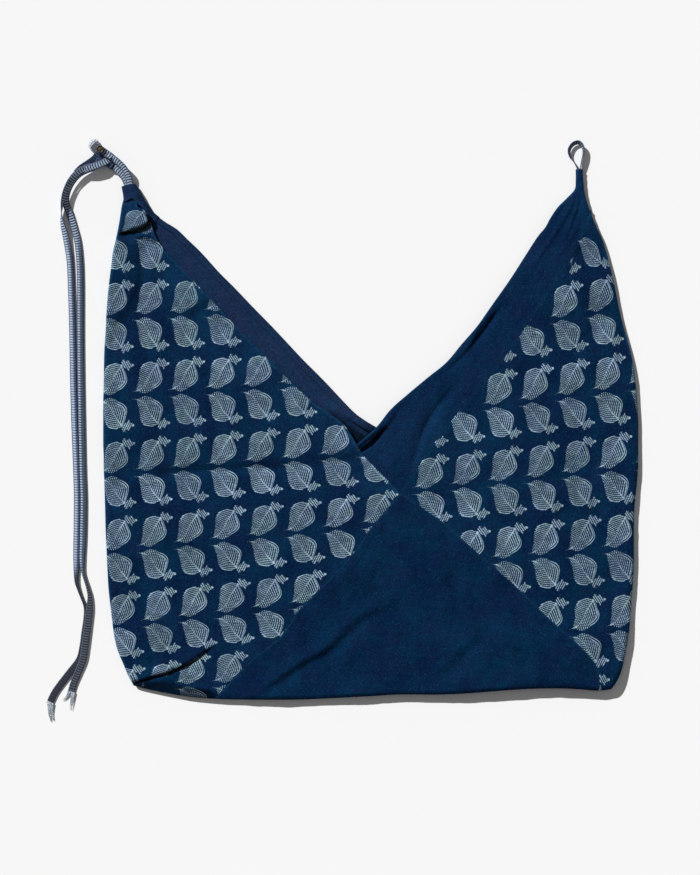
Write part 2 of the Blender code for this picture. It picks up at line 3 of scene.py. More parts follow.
import bmesh
import bpy
import numpy as np
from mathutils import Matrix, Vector


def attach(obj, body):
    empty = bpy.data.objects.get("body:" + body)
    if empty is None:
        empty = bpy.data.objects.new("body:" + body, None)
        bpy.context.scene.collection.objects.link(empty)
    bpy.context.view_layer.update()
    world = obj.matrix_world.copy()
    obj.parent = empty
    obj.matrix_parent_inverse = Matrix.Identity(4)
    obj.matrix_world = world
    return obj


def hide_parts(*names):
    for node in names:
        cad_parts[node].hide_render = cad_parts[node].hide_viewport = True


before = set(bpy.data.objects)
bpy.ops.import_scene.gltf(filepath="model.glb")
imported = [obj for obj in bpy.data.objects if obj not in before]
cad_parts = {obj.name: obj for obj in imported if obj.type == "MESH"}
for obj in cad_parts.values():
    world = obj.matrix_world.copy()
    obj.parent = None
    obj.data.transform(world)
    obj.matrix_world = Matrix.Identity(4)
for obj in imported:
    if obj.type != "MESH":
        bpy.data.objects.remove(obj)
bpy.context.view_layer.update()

# Tables give millimetres from the lower left corner of the lying bag, as the CAD's do.
mm = 0.001
bagWidth, bagHeight = 556.0, 580.28


def toFrame(points):
    moved = np.asarray(points, float).reshape(-1, 3) - (bagWidth / 2, bagHeight / 2, 0)
    return moved * mm


def deselectAll():
    if bpy.context.object and bpy.context.object.mode != "OBJECT":
        bpy.ops.object.mode_set(mode="OBJECT")
    bpy.ops.object.select_all(action="DESELECT")


view = {"middle": (-0.0216, -0.0177), "height": 2.1536, "lens": 85, "sensor": 36}
light = {"towards": (0.577, -0.619, -0.530), "strength": 5.1, "angle": 1.4, "fill": 0.19,
         "floorTone": 0.885, "floorSize": 40, "floorDrop": 0.0003}


def makeCameraAndLight():
    deselectAll()
    bpy.ops.object.camera_add(location=(*view["middle"], view["height"]))
    camera = bpy.context.object
    camera.name = "camera"
    camera.data.lens, camera.data.sensor_width = view["lens"], view["sensor"]
    camera.data.clip_end = 100
    bpy.context.scene.camera = camera
    bpy.ops.object.light_add(type="SUN", location=(-1, 1, 1))
    sun = bpy.context.object
    sun.name = "studioLight"
    sun.data.energy, sun.data.angle = light["strength"], math.radians(light["angle"])
    sun.rotation_euler = Vector(light["towards"]).to_track_quat("-Z", "Y").to_euler()
    world = bpy.data.worlds.new("studioFill")
    bpy.context.scene.world = world
    world.use_nodes = True
    world.node_tree.nodes["Background"].inputs["Color"].default_value = (1, 1, 1, 1)
    world.node_tree.nodes["Background"].inputs["Strength"].default_value = light["fill"]
    bpy.context.scene.view_settings.view_transform = "Standard"


class Wire:
    # a value inside a material; arithmetic on it adds math nodes
    def __init__(self, tree, socket):
        self.tree, self.socket = tree, socket

    def do(self, operation, *others):
        return added(self.tree, "Math", dict(enumerate((self, *others))), operation=operation)

    def __add__(self, other):
        return self.do("ADD", other)

    def __sub__(self, other):
        return self.do("SUBTRACT", other)

    def __rsub__(self, other):
        return added(self.tree, "Math", {0: other, 1: self}, operation="SUBTRACT")

    def __mul__(self, other):
        return self.do("MULTIPLY", other)

    def __truediv__(self, other):
        return self.do("DIVIDE", other)

    __radd__ = __add__


def feed(socket, value):
    if isinstance(value, Wire):
        value.tree.links.new(value.socket, socket)
    else:
        socket.default_value = value


def added(tree, kind, feeds, output=0, **settings):
    # a new node with its settings and inputs, given back as the wire that leaves it
    step = tree.nodes.new("ShaderNode" + kind)
    for name, setting in settings.items():
        setattr(step, name, setting)
    for key, value in feeds.items():
        feed(step.inputs[key], value)
    return Wire(tree, step.outputs[output])


def startMaterial(name, roughness, specular=0.12, sheen=0.0):
    material = bpy.data.materials.new(name)
    material.use_nodes = True
    shader = material.node_tree.nodes["Principled BSDF"].inputs
    shader["Roughness"].default_value = roughness
    shader["Specular IOR Level"].default_value = specular
    shader["Sheen Weight"].default_value = sheen
    return material, shader, added(material.node_tree, "TexCoord", {}, "Object")


def between(value, low, high, outLow=0.0, outHigh=1.0, smooth=True):
    return added(value.tree, "MapRange", {"Value": value, "From Min": low, "From Max": high,
                                          "To Min": outLow, "To Max": outHigh}, "Result",
                 interpolation_type="SMOOTHSTEP" if smooth else "LINEAR")


def noise(where, scale, detail=2.0, rough=0.5):
    return added(where.tree, "TexNoise", {"Vector": where, "Scale": scale, "Detail": detail,
                                          "Roughness": rough}, "Fac")


def blendColour(share, first, second, kind="MIX"):
    tree = next(value.tree for value in (share, first, second) if isinstance(value, Wire))
    return added(tree, "Mix", {0: share, 6: first, 7: second}, 2, data_type="RGBA",
                 blend_type=kind)


def darkened(colour, share):
    return blendColour(1.0, colour, share, "MULTIPLY")


def bumpOf(height, strength, distance, below=None):
    feeds = {"Strength": strength, "Distance": distance, "Height": height}
    if below:
        feeds["Normal"] = below
    return added(height.tree, "Bump", feeds, "Normal")


def split(vector):
    step = added(vector.tree, "SeparateXYZ", {0: vector}).socket.node
    return [Wire(vector.tree, socket) for socket in step.outputs]


def mark(tree, name):
    # a share that the mesh carries at its points
    return added(tree, "Attribute", {}, "Fac", attribute_name=name)


def curveOf(value, points):
    # points run over 0..1 both ways
    curve = added(value.tree, "FloatCurve", {"Value": value})
    mapping = curve.socket.node.mapping
    line = mapping.curves[0]
    while len(line.points) < len(points):
        line.points.new(0.5, 0.5)
    for spot, place in zip(line.points, points):
        spot.location = place
    mapping.update()
    return curve


# thread is in mm; the dye's patches, speckle and flecks count per metre
# the pale tone below serves flecks, worn edges and the painted rim highlight of the side folds
indigo = {"deep": (0.0010, 0.0110, 0.0420, 1), "teal": (0.0012, 0.0205, 0.0560, 1),
          "violet": (0.0040, 0.0110, 0.0460, 1), "wornAndLit": (0.010, 0.060, 0.135, 1),
          "roughness": 0.92, "thread": 0.62, "patches": 24, "coolPatches": 61, "speckle": 560,
          "flecks": 800, "rubbing": 300}
bandIndigo = dict(indigo, deep=(0.0018, 0.0138, 0.0500, 1), teal=(0.0022, 0.0205, 0.0590, 1),
                  violet=(0.0055, 0.0130, 0.0510, 1))
# the back band shows the other, greyer side of its cloth
reverseIndigo = dict(indigo, deep=(0.0080, 0.0200, 0.0600, 1), teal=(0.0078, 0.0265, 0.0680, 1),
                     violet=(0.0150, 0.0205, 0.0630, 1))


def clothColour(tones, where, threads):
    # blotches of the dye, then fine speckle, then single threads
    patch = between(noise(where, tones["patches"], 3, 0.6), 0.32, 0.68)
    cool = between(noise(where, tones["coolPatches"], 4, 0.65), 0.40, 0.66)
    colour = blendColour(patch, tones["deep"], tones["teal"])
    colour = blendColour(cool * 0.55, colour, tones["violet"])
    speckle = noise(where, tones["speckle"], 3, 0.8)
    colour = darkened(colour, between(speckle, 0.28, 0.72, 0.52, 1.52, False))
    flecks = between(noise(where, tones["flecks"], 2, 0.6), 0.58, 0.72, 0.0, 0.75)
    colour = blendColour(flecks, colour, tones["wornAndLit"])
    warp, weft = split(threads)[:2]
    turn = 2 * math.pi / tones["thread"]
    weave = (warp * turn).do("SINE") * (weft * turn).do("SINE")
    colour = darkened(colour, between(weave, -1, 1, 0.82, 1.18, False))
    # paler where the cloth is worn; along the panels' side folds the same mark paints a highlight
    # on the fold's rim
    rubbed = mark(where.tree, "wearAndRimLight") * between(noise(where, tones["rubbing"], 3, 0.7),
                                                0.3, 0.7, 0.25, 1.0)
    colour = blendColour(rubbed, colour, tones["wornAndLit"])
    # painted shade: the colour is darker where a pleat hides the cloth from the light
    return colour, weave, 1.0 - mark(where.tree, "paintedShade") * 0.88


def finishCloth(shader, where, colour, weave, shade):
    feed(shader["Base Color"], darkened(colour, shade))
    soft = bumpOf(noise(where, 90, 3, 0.55), 0.55, 0.0016)
    crumple = bumpOf(noise(where, 330, 3, 0.6), 0.5, 0.0005, soft)
    feed(shader["Normal"], bumpOf(weave, 0.5, 0.00008, crumple))


def plainClothMaterial(name, tones):
    material, shader, where = startMaterial(name, tones["roughness"], 0.03)
    threads = added(where.tree, "Mapping", {"Vector": where, "Scale": (1 / mm,) * 3})
    finishCloth(shader, where, *clothColour(tones, where, threads))
    return material


# Each leaf's sizes are mm in its own frame: s runs from tip to stem, t to its round side.
leafPrint = {"across": 38.3, "halfDown": 40.0, "tipIn": 3.6, "length": 37.8, "vein": 1.0,
             "veinSlope": (1.10, 0.44), "veinBow": 0.014, "closing": 0.9, "outline": 2.3,
             "dots": 1.9, "teeth": 0.6, "wander": 1.4, "leastPaste": 0.74,
             "ink": (0.415, 0.575, 0.735, 1), "inkGreen": (0.405, 0.590, 0.655, 1)}
sprigPrint = {"start": (25.6, 27.4), "length": 12.6, "up": 6.8, "down": 6.6, "stripe": 2.35,
              "bead": 1.9, "dots": [((37.9, 26.9), 1.25), ((25.7, 26.8), 1.15)]}
curveSpan, curveZero = 40.0, 16.0  # a curve's 0..1 stands for -16..24 mm
roundSide = [(0, 0.0), (3.5, 3.0), (7.5, 10.4), (11.5, 12.9), (17, 14.3), (23.5, 16.0),
             (29.4, 14.8), (33.8, 9.2), (36.2, 4.0), (37.8, 0.0)]
toothedSide = [(0, 0.0), (3.5, 1.8), (6.0, 0.4), (12.2, -3.2), (16.4, -6.8), (24.7, -11.3),
               (29.6, -10.8), (34.3, -7.6), (37.0, -2.2), (37.8, 0.0)]
midRib = [(0, 0.0), (5.5, 3.3), (11, 4.4), (17.5, 3.4), (24, 1.2), (31.8, 0.0), (37.8, -0.6)]


def leafCurve(along, line):
    points = [(s / leafPrint["length"], (t + curveZero) / curveSpan) for s, t in line]
    return curveOf(along / leafPrint["length"], points) * curveSpan - curveZero


def stripes(phase, step, low=-0.35, high=0.55):
    return between((phase * (2 * math.pi / step)).do("SINE"), low, high)


def within(value, low, high):
    return value.do("GREATER_THAN", low) * value.do("LESS_THAN", high)


def dotAt(x, y, centre, radius):
    dx, dy = x - centre[0], y - centre[1]
    return between((dx * dx + dy * dy).do("SQRT"), radius * 0.6, radius * 1.25, 1.0, 0.0)


def leafInk(x, y):
    # one pointed leaf with nested veins, its tip at the origin and its stem low on the right
    long, closing = leafPrint["length"], leafPrint["closing"]
    s, t = (x + y) * math.sqrt(0.5), (x - y) * math.sqrt(0.5)
    aboveEdge = leafCurve(s, roundSide) - t
    belowEdge = t - leafCurve(s, toothedSide)
    off = t - leafCurve(s, midRib)
    away = off.do("ABSOLUTE")
    # the veins stand closer together towards the tip
    toothedSlope, roundSlope = leafPrint["veinSlope"]
    slope = toothedSlope + off.do("GREATER_THAN", 0.0) * (roundSlope - toothedSlope)
    back = s + away * away * leafPrint["veinBow"] + away * slope
    phase = (2.0 + back * (closing / long)).do("LOGARITHM", math.e) * (long / closing)
    veins = stripes(phase, leafPrint["vein"], 0.10, 0.68)
    # towards the tip they are broken into dots
    breaks = stripes(off + s * 0.25, leafPrint["dots"], -0.7, 0.1)
    veins = veins * (1.0 - between(s, 10.0, 30.0, 0.9, 0.5) * (1.0 - breaks))
    ribShare = between(s, 14, 34, 0.3, 0.9).do("MAXIMUM", between(s, 5, 12, 0.85, 0.0))
    rib = between(away, 0.25, 0.8, 1.0, 0.0) * ribShare
    # two lines follow the round edge, and one the toothed edge near the stem
    nearRound = between(aboveEdge, 2.6, 3.8, 1.0, 0.0) * between(s, 14, 20)
    outline = stripes(aboveEdge + 0.25, leafPrint["outline"], 0.05, 0.70)
    lowLine = between(belowEdge, 0.7, 1.4, 1.0, 0.0) * between(s, 21, 25)
    body = (outline * nearRound).do("MAXIMUM", veins * (1.0 - nearRound))
    body = body.do("MAXIMUM", rib).do("MAXIMUM", lowLine) * 0.96 + 0.03
    teeth = (phase * (2 * math.pi)).do("SINE") * leafPrint["teeth"]
    edge = aboveEdge.do("MINIMUM", belowEdge + teeth)
    return body * (between(edge, -0.25, 0.35) * within(s, 0.0, long))


def sprigInk(x, y):
    # the small lobed leaf beside the stem, with stripes across it and a dot at each end
    u, low = (x - sprigPrint["start"][0]) / sprigPrint["length"], y - sprigPrint["start"][1]
    upSide = curveOf(u, [(0, 0.05), (0.15, 0.30), (0.32, 0.48), (0.46, 0.62), (0.58, 0.95),
                         (0.72, 0.55), (0.84, 0.42), (1, 0.0)])
    downSide = curveOf(u, [(0, 0.25), (0.12, 0.78), (0.26, 0.92), (0.40, 0.55), (0.56, 0.70),
                           (0.76, 0.36), (1, 0.0)])
    edge = (upSide * sprigPrint["up"] + low).do("MINIMUM", downSide * sprigPrint["down"] - low)
    bars = stripes((x - 25.2) + low * 0.55, sprigPrint["stripe"], -0.25, 0.45)
    beads = stripes(low - x * 0.3, sprigPrint["bead"], -0.6, 0.3)
    bars = bars * (0.48 + beads * 0.72) * 0.92 + 0.04
    body = bars * (between(edge, -0.2, 0.5) * within(u, 0.0, 1.0))
    stemDot, endDot = [dotAt(x, y, centre, radius) for centre, radius in sprigPrint["dots"]]
    return body.do("MAXIMUM", stemDot.do("MAXIMUM", endDot))


def printedClothMaterial(name, tones):
    material, shader, where = startMaterial(name, tones["roughness"], 0.03)
    printed = added(where.tree, "UVMap", {}, uv_map="print")
    onCloth = added(where.tree, "Mapping", {"Vector": printed, "Scale": (100, 100, 1)})
    colour, weave, shade = clothColour(tones, where, onCloth)
    across, up = split(onCloth)[:2]
    # the block lands a little differently each time
    shake = (noise(where, 70, 1) - 0.5) * leafPrint["wander"]
    u, v = across + shake, up + shake * -0.8
    wide, high = leafPrint["across"], leafPrint["halfDown"]
    y = v.do("PINGPONG", high) - leafPrint["tipIn"]
    leafX = (u + 1.0).do("FLOORED_MODULO", wide) - 1.0
    sprigX = (u - 10.0).do("FLOORED_MODULO", wide) + 10.0
    ink = leafInk(leafX, y).do("MAXIMUM", sprigInk(sprigX, y))
    # each leaf took up its own share of the paste
    cell = added(where.tree, "CombineXYZ", {0: (u / wide).do("FLOOR"), 1: (v / high).do("FLOOR")})
    chance = added(where.tree, "TexWhiteNoise", {"Vector": cell}, "Value")
    strength = between(chance, 0, 1, leafPrint["leastPaste"], 1.0, False)
    strength = strength * (1.0 - mark(where.tree, "bare"))
    patchy = between(noise(where, 130, 3, 0.6), 0.25, 0.7, 0.62, 1.1)
    grainy = between(noise(where, 900, 2, 0.7), 0.25, 0.72, 0.42, 1.35)
    ink = (ink * (strength * (patchy * grainy))).do("MINIMUM", 1.0)
    tint = blendColour(between(noise(where, 45, 2), 0.4, 0.6), leafPrint["ink"],
                       leafPrint["inkGreen"])
    finishCloth(shader, where, blendColour(ink, colour, tint), weave, shade)
    return material


# A section across a printed panel: front edge, side fold, back edge, free edge of its band.
leftAbove = np.array([
    (36, 512, 19, 512, 24.5, 512, 47.5, 512.5), (46.5, 505, 18, 505, 26.5, 505, 53, 505),
    (50, 492.5, 16, 492.5, 31.5, 492.5, 64, 496.5), (56, 478, 13, 478, 38, 478, 76, 489),
    (65, 465.5, 10, 465.5, 46.5, 465.5, 87.5, 478), (80, 449, 8, 449, 59, 449, 101, 465),
    (99.5, 429, 5.5, 429, 74.5, 429, 119, 445), (121, 406, 3.5, 406, 93, 406, 136, 428),
    (141, 384.5, 2.5, 384.5, 111, 384.5, 156, 407),
    (165, 360.5, 1, 360.5, 132.5, 360.5, 177.5, 385),
    (197, 328, 0.5, 328, 163, 328, 206, 354.5), (216, 310.5, 0, 310.5, 180.5, 310.5, 222.5, 338),
    (235.5, 297, 0, 297, 194, 297, 236, 324), (251, 284.5, 0, 284.5, 207.5, 284.5, 249, 310),
    (263.5, 265.5, 0, 265.5, 227, 265.5, 262, 297), (271, 253, 0.5, 253, 242, 253, 274, 288.5),
    (282.5, 241, 0.5, 241, 257.5, 241, 289, 279), (294, 229.5, 1, 229.5, 275, 229.5, 306, 262),
    (308.5, 215, 1.5, 215, 308.5, 215, 332, 237)])
# From the corner where four pieces meet down to the bottom: the seam and the side fold.
leftSeam = np.array([
    (291.5, 194, 2, 196), (275, 174, 2.5, 176.5), (258.5, 150.5, 3.5, 154.5),
    (236.5, 127.5, 4.5, 132.5), (219, 108.5, 5.5, 115), (200, 89, 7.5, 97),
    (187.5, 69, 9.5, 79.5), (173, 56.5, 11.5, 65), (156.5, 44, 15, 50.5),
    (142, 29.5, 20.5, 37), (129.5, 16, 25.5, 24.5), (116, 0.5, 31.5, 13)])
rightAbove = np.array([
    (504, 501, 508, 502, 501, 501, 465, 500.5), (500, 488.5, 513, 490.5, 496, 488.5, 459.5, 490.5),
    (492.5, 475, 519, 477, 489.5, 475, 451, 480), (480, 455, 525.5, 455, 479, 455, 437.5, 459),
    (465.5, 430, 531.5, 430, 462.5, 430, 422, 435),
    (445.5, 398, 537.5, 400, 440.5, 398, 404, 409.5),
    (426, 367.5, 546, 369.5, 418.5, 367.5, 388.5, 387.5),
    (409, 346, 551, 348, 403, 346, 372.5, 369), (391.5, 325, 553.5, 327, 388.5, 325, 356.5, 350),
    (375, 306.5, 555, 307.5, 375, 306.5, 338, 335),
    (359.5, 286.5, 556, 288.5, 361.5, 286.5, 317, 317.5),
    (345, 268, 556, 270, 348.5, 263.5, 299, 301.5), (327, 242, 556, 243, 333.5, 236.5, 284, 283),
    (308.5, 215, 554, 218, 308.5, 215, 263.5, 264.5)])
rightSeam = np.array([
    (329, 201, 552, 198), (354, 183.5, 551.5, 175), (379, 161.5, 551.5, 151),
    (404.5, 139, 551, 129), (431, 115.5, 549.5, 108.5), (456, 91, 548, 88),
    (478, 71, 546, 68), (496, 54.5, 543.5, 52), (508, 41, 540.5, 38),
    (514, 29.5, 537.5, 27), (515.5, 19, 533, 18), (514.5, 9.5, 528, 11)])
# The tips of the horns: lip and side fold.
leftTip = np.array([(32.5, 536.5, 19, 533.5), (37.5, 529, 20.5, 525.5), (42.5, 520, 21, 518)])
rightTip = np.array([
    (491.7, 551.5, 498.3, 551.5), (491.7, 540.5, 498.8, 540.5), (490.5, 530.5, 500, 529),
    (481.5, 520.5, 503, 516.5), (472.5, 511.5, 506.5, 505)])
bottomLine = np.array([
    (31.5, 14.5), (43, 11.5), (59, 8), (79.5, 4.3), (98, 2.0), (116, 0.9), (140, 0.2),
    (194, 0), (235.5, 1.5),
    (282.5, 4), (308.5, 5.5), (350, 5.5), (381, 7), (412.5, 9.5), (443.5, 11.5),
    (475, 12), (495.5, 11), (514.5, 9.5), (528, 11)])
# x, y, height between the two cloths, width of the rounded side fold
puffs = np.array([
    (26, 535, 5.6, 1.8), (30, 524, 5.6, 2.0), (30.5, 504, 7.5, 3.0), (50.5, 486, 4.5, 3.0),
    (33, 415.5, 6.0, 3.5), (48.5, 259.5, 8.0, 4.5), (48.5, 82.5, 7.0, 4.5),
    (48.5, 20.5, 5.5, 4.0), (183.5, 41, 8.0, 4.5), (235.5, 166, 10.0, 5.0),
    (308.5, 215, 10.0, 5.0), (285.5, 280.5, 8.5, 5.0), (165, 348, 8.0, 5.0),
    (90, 426, 6.0, 4.0), (433, 166, 10.5, 5.5), (485, 41, 13.5, 6.0), (440, 20, 12.0, 6.0),
    (537, 207.5, 5.2, 4.0), (544, 110, 5.5, 4.0), (535, 45, 8.0, 5.0), (545, 290, 5.0, 3.5),
    (533, 384.5, 4.6, 3.5), (485, 467.5, 6.5, 3.5), (495, 540.5, 5.0, 1.2),
    (493, 522, 4.8, 1.8), (350, 348, 6.5, 5.0), (438.5, 455, 6.0, 4.0)])
# How cloth lies: depth up (or down), step makes the side left of the line's run the higher
# one, width is the reach to each side, edge the sharpness of the step, and dip a groove at it.
folds = {
    "lower left tuck": {"depth": 0.2, "step": 1.5, "width": 9, "edge": 0.8, "dip": 2.8,
        "line": [(29, 16.5), (50, 23.5), (70, 29.6), (92, 40), (112, 55)]},
    "under the tuck": {"depth": -1.2, "step": 1.0, "width": 8, "edge": 4,
        "line": [(40, 12), (66, 17), (98, 20)]},
    "short crease above it": {"depth": -0.9, "width": 3, "line": [(50.4, 29), (50.8, 50)]},
    "slanting crease": {"depth": 0.3, "step": 2.1, "width": 11, "edge": 2.6,
        "line": [(165, 9), (186, 23), (204.4, 36), (236, 54), (267, 84), (298, 99)]},
    "crease beside it": {"depth": 0.0, "step": 1.4, "width": 9, "edge": 3.0,
        "line": [(345, 21), (376, 52), (396, 74)]},
    "left horn ridge": {"depth": 1.6, "width": 7, "line": [(22, 500), (42, 508)]},
    "under the left horn": {"depth": -0.3, "step": 2.6, "width": 7, "edge": 0.8, "dip": 1.6,
        "line": [(14, 483.7), (26, 486.8), (33.5, 489), (42, 492), (48, 496), (51, 503)]},
    "second pleat": {"depth": -0.3, "step": 1.0, "width": 4, "edge": 0.9, "dip": 1.2,
        "line": [(38, 480), (46.3, 480.5), (58, 473.5)]},
    "right horn gather": {"depth": 0.5, "step": 0.55, "width": 4.5, "edge": 1.1,
        "line": [(450, 452), (457, 463.5), (470, 483), (487, 511), (493.5, 530)]},
    "gather beside it": {"depth": 0.2, "step": 0.45, "width": 3.5, "edge": 0.9, "dip": 0.2,
        "line": [(480, 476), (487, 493), (493, 511), (496, 530)]},
    "gather at the lip": {"depth": 0.2, "step": 0.35, "width": 3, "edge": 0.9,
        "line": [(466, 497), (477, 512), (489, 530)]},
    "short crease by the seam": {"depth": -1.0, "width": 2.5,
        "line": [(474, 504), (478, 497), (484, 486)]},
    "right side dent": {"depth": -1.5, "width": 8, "line": [(552, 362), (541, 386)]},
    "hem at the notch": {"depth": 0.8, "step": 1.8, "width": 8, "edge": 0.9,
        "dip": 2.7, "dipReach": 2.6,
        "line": [(262, 257.6), (268.6, 263), (279.6, 272.5), (293, 284.5)]},
    "rolled mouth edge": {"depth": -0.8, "step": 2.0, "width": 6, "edge": 1.8,
        "line": [(377, 362), (384, 371.5), (392.5, 385), (402, 397.5), (411, 407)]},
    "mouth edge pinch": {"depth": -0.8, "step": 0.7, "width": 5, "edge": 1.5,
        "line": [(356, 343), (366, 351), (376, 361)]},
    "band crease": {"depth": -2.0, "step": -0.9, "width": 6, "edge": 1.7,
        "line": [(367.6, 332.3), (345.8, 305.2), (333.3, 284.4), (324, 259.5), (320, 245)]},
    "between the leaf rows": {"depth": -1.7, "width": 6.5,
        "line": [(30, 233), (60, 235), (120, 240), (180, 242), (230, 247), (264, 252)]},
    "down the left side": {"depth": -1.3, "width": 5.5,
        "line": [(50, 476), (36, 464), (38.5, 445), (35.5, 424), (25, 404), (10, 392)]},
    "down from the band": {"depth": -1.0, "width": 7,
        "line": [(138, 434), (122, 421), (105, 407), (86, 396)]},
    "short one above": {"depth": -1.0, "width": 5,
        "line": [(164, 281), (180, 274), (194, 264.7)]},
}
# millimetres, apart from the counts of columns and the crowding of columns to the edge
cloth = {"seamPull": 0.32, "rollRadius": 0.42, "turnIn": 7.0, "thick": 0.75, "fineRow": 1.6,
         "row": 4.0, "frontColumns": 74, "backColumns": 44, "sagReach": 80.0, "blur": 20.0,
         "fineTop": 60, "fineBottom": 70.0, "weld": 0.02, "floorGap": 0.5, "layerGap": 1.4,
         "turnGap": 0.3, "wearReach": 1.6, "crowding": 1.35,
         # height, wave length and seed of the soft ripples
         "ripples": [(0.75, 75, 3), (0.42, 27, 5), (0.16, 10, 8)], "backRipple": (0.25, 34, 11)}
gathers = {"height": 0.2, "reach": 5.0, "every": 8.5, "drift": 23.0}
foldAngles = np.radians([9, 20, 33, 48, 66, 90])


def smoothLine(points, per=14):
    p = np.asarray(points, float)
    p = np.vstack([2 * p[0] - p[1], p, 2 * p[-1] - p[-2]])
    t = (np.arange(per) / per)[None, :, None]
    a, b, c, d = p[:-3, None], p[1:-2, None], p[2:-1, None], p[3:, None]
    curve = 0.5 * (2 * b + (c - a) * t + (2 * a - 5 * b + 4 * c - d) * t ** 2
                   + (3 * b - 3 * c + d - a) * t ** 3)
    return np.vstack([curve.reshape(-1, p.shape[1]), p[-2]])


def lengthsAlong(line):
    return np.concatenate([[0], np.cumsum(np.linalg.norm(np.diff(line, axis=0), axis=1))])


def sampleAt(line, lengths, targets):
    return np.stack([np.interp(targets, lengths, column) for column in line.T], axis=1)


def lineDistance(x, y, line):
    # distance to a broken line, on which side of it, and how far along it
    best = np.full(np.shape(x), 1e9)
    side, along = np.ones(np.shape(x)), np.zeros(np.shape(x))
    count = len(line) - 1
    for i, ((ax, ay), (bx, by)) in enumerate(zip(line, line[1:])):
        dx, dy = bx - ax, by - ay
        t = np.clip(((x - ax) * dx + (y - ay) * dy) / (dx * dx + dy * dy), 0, 1)
        far = np.hypot(x - ax - t * dx, y - ay - t * dy)
        near = far < best
        side = np.where(near, np.sign(dx * (y - ay) - dy * (x - ax)), side)
        along = np.where(near, (i + t) / count, along)
        best = np.where(near, far, best)
    return best, side, along


def openingAt(x, y):
    total = height = width = 0.0
    for px, py, tall, wide in puffs:
        weight = (cloth["blur"] ** 2 + (x - px) ** 2 + (y - py) ** 2) ** -1.5
        total, height, width = total + weight, height + weight * tall, width + weight * wide
    return height / total, width / total


def ripple(x, y, wave, seed):
    dice = np.random.default_rng(seed)
    total = 0.0
    for angle, stretch, start in zip(dice.uniform(0, math.pi, 12), dice.uniform(0.7, 1.5, 12),
                                     dice.uniform(0, 2 * math.pi, 12)):
        total = total + np.sin((x * math.cos(angle) + y * math.sin(angle))
                               * 2 * math.pi / (wave * stretch) + start)
    return total / 3.5


mouthDip = {"depth": 1.6, "step": 1.6, "width": 9, "edge": 1.3,
            "line": [(226, 305), (240, 298), (256, 290.5), (270, 286.5), (286, 284)]}
# Painted shade, where pleats hide the cloth from the light: each line with its reach and its share.
paintedShadeLines = {
    "backBand": [
        ([(237, 294), (250, 284.5), (262, 276.5), (271, 271)], 4.2, 0.85),
        ([(262, 270), (272, 270), (282, 278)], 5.0, 0.8)],
    "frontBand": [
        ([(280, 271), (286, 276), (293.8, 282.4)], 2.6, 0.92),
        ([(270, 262.5), (274.5, 266.4), (279, 270)], 1.6, 0.4),
        ([(295, 284), (299, 290), (303, 297)], 1.6, 0.6),
        ([(497, 503), (492, 488), (484, 474), (474, 459)], 1.6, 0.2)],
    "leftPanel": [
        ([(20, 484.2), (31, 487), (39, 489.5), (45.5, 493.5), (47.8, 500), (45.5, 507)], 2.6, 0.95),
        ([(35, 478.6), (46.5, 478.6), (57, 472)], 1.8, 0.6),
        ([(31, 15.5), (50, 22.3), (70, 28.2), (92, 38.6), (110, 52)], 1.9, 0.9),
        ([(33, 16), (55, 13), (78, 9.5), (112, 3)], 6.0, 0.82),
        ([(86, 10), (97, 8.8), (110, 7.2)], 3.6, 0.92),
        ([(40, 470), (37, 462), (38.7, 445), (35.5, 424), (26, 404), (12, 392)], 4.5, 0.4),
        ([(60, 237), (120, 242), (180, 244), (230, 249), (262, 254)], 3.0, 0.25),
        ([(132, 430), (122, 422.5), (104, 409), (88, 399)], 4.0, 0.3)]}


def paintedShadeShare(name, x, y):
    # how much painted shade a point gets from the nearest of these lines
    share = np.zeros(np.shape(x))
    for line, reach, amount in paintedShadeLines.get(name, []):
        far = lineDistance(x, y, smoothLine(line, 5))[0]
        share = np.maximum(share, amount * np.exp(-(far / reach) ** 4))
    return share


def relief(x, y, chosen):
    total = np.zeros(np.shape(x))
    for fold in chosen:
        far, side, along = lineDistance(x, y, smoothLine(fold["line"], 5))
        near = np.exp(-(far / fold["width"]) ** 2)
        taper = np.sin(math.pi * np.clip(along, 0.02, 0.98)) ** 0.5
        step = fold.get("step", 0) * np.tanh(side * far / fold.get("edge", 1))
        total += near * taper * (fold["depth"] + step)
        reach = fold.get("dipReach", 1.4)
        total -= taper * fold.get("dip", 0.0) * np.exp(-((side * far + 0.8 * reach) / reach) ** 2)
    return total


def rounded(distance, width):
    return np.sqrt(np.clip(1 - (1 - np.clip(distance / width, 0, 1)) ** 2, 0, 1))


bottomCurve = smoothLine(bottomLine)


def bottomY(x):
    return np.interp(x, bottomCurve[:, 0], bottomCurve[:, 1])


def layerHeights(x, y, closed, lip=1.0):
    # how high the back and the front cloth lie, with their folds and soft ripples
    height, width = openingAt(x, y)
    shut = closed * rounded(y - bottomY(x), width)
    middle = cloth["floorGap"] + 0.5 * height
    half = 0.5 * height * shut * lip
    soft = sum(tall * ripple(x, y, wave, seed) for tall, wave, seed in cloth["ripples"])
    front = middle + half + (relief(x, y, folds.values()) + soft) * shut ** 2 * lip
    tall, wave, seed = cloth["backRipple"]
    back = middle - half + tall * np.abs(ripple(x, y, wave, seed)) * shut ** 2
    return back, np.maximum(front, back + np.minimum(cloth["layerGap"], 2 * half))


def unit(vectors):
    return vectors / np.maximum(np.linalg.norm(vectors, axis=-1, keepdims=True), 1e-6)


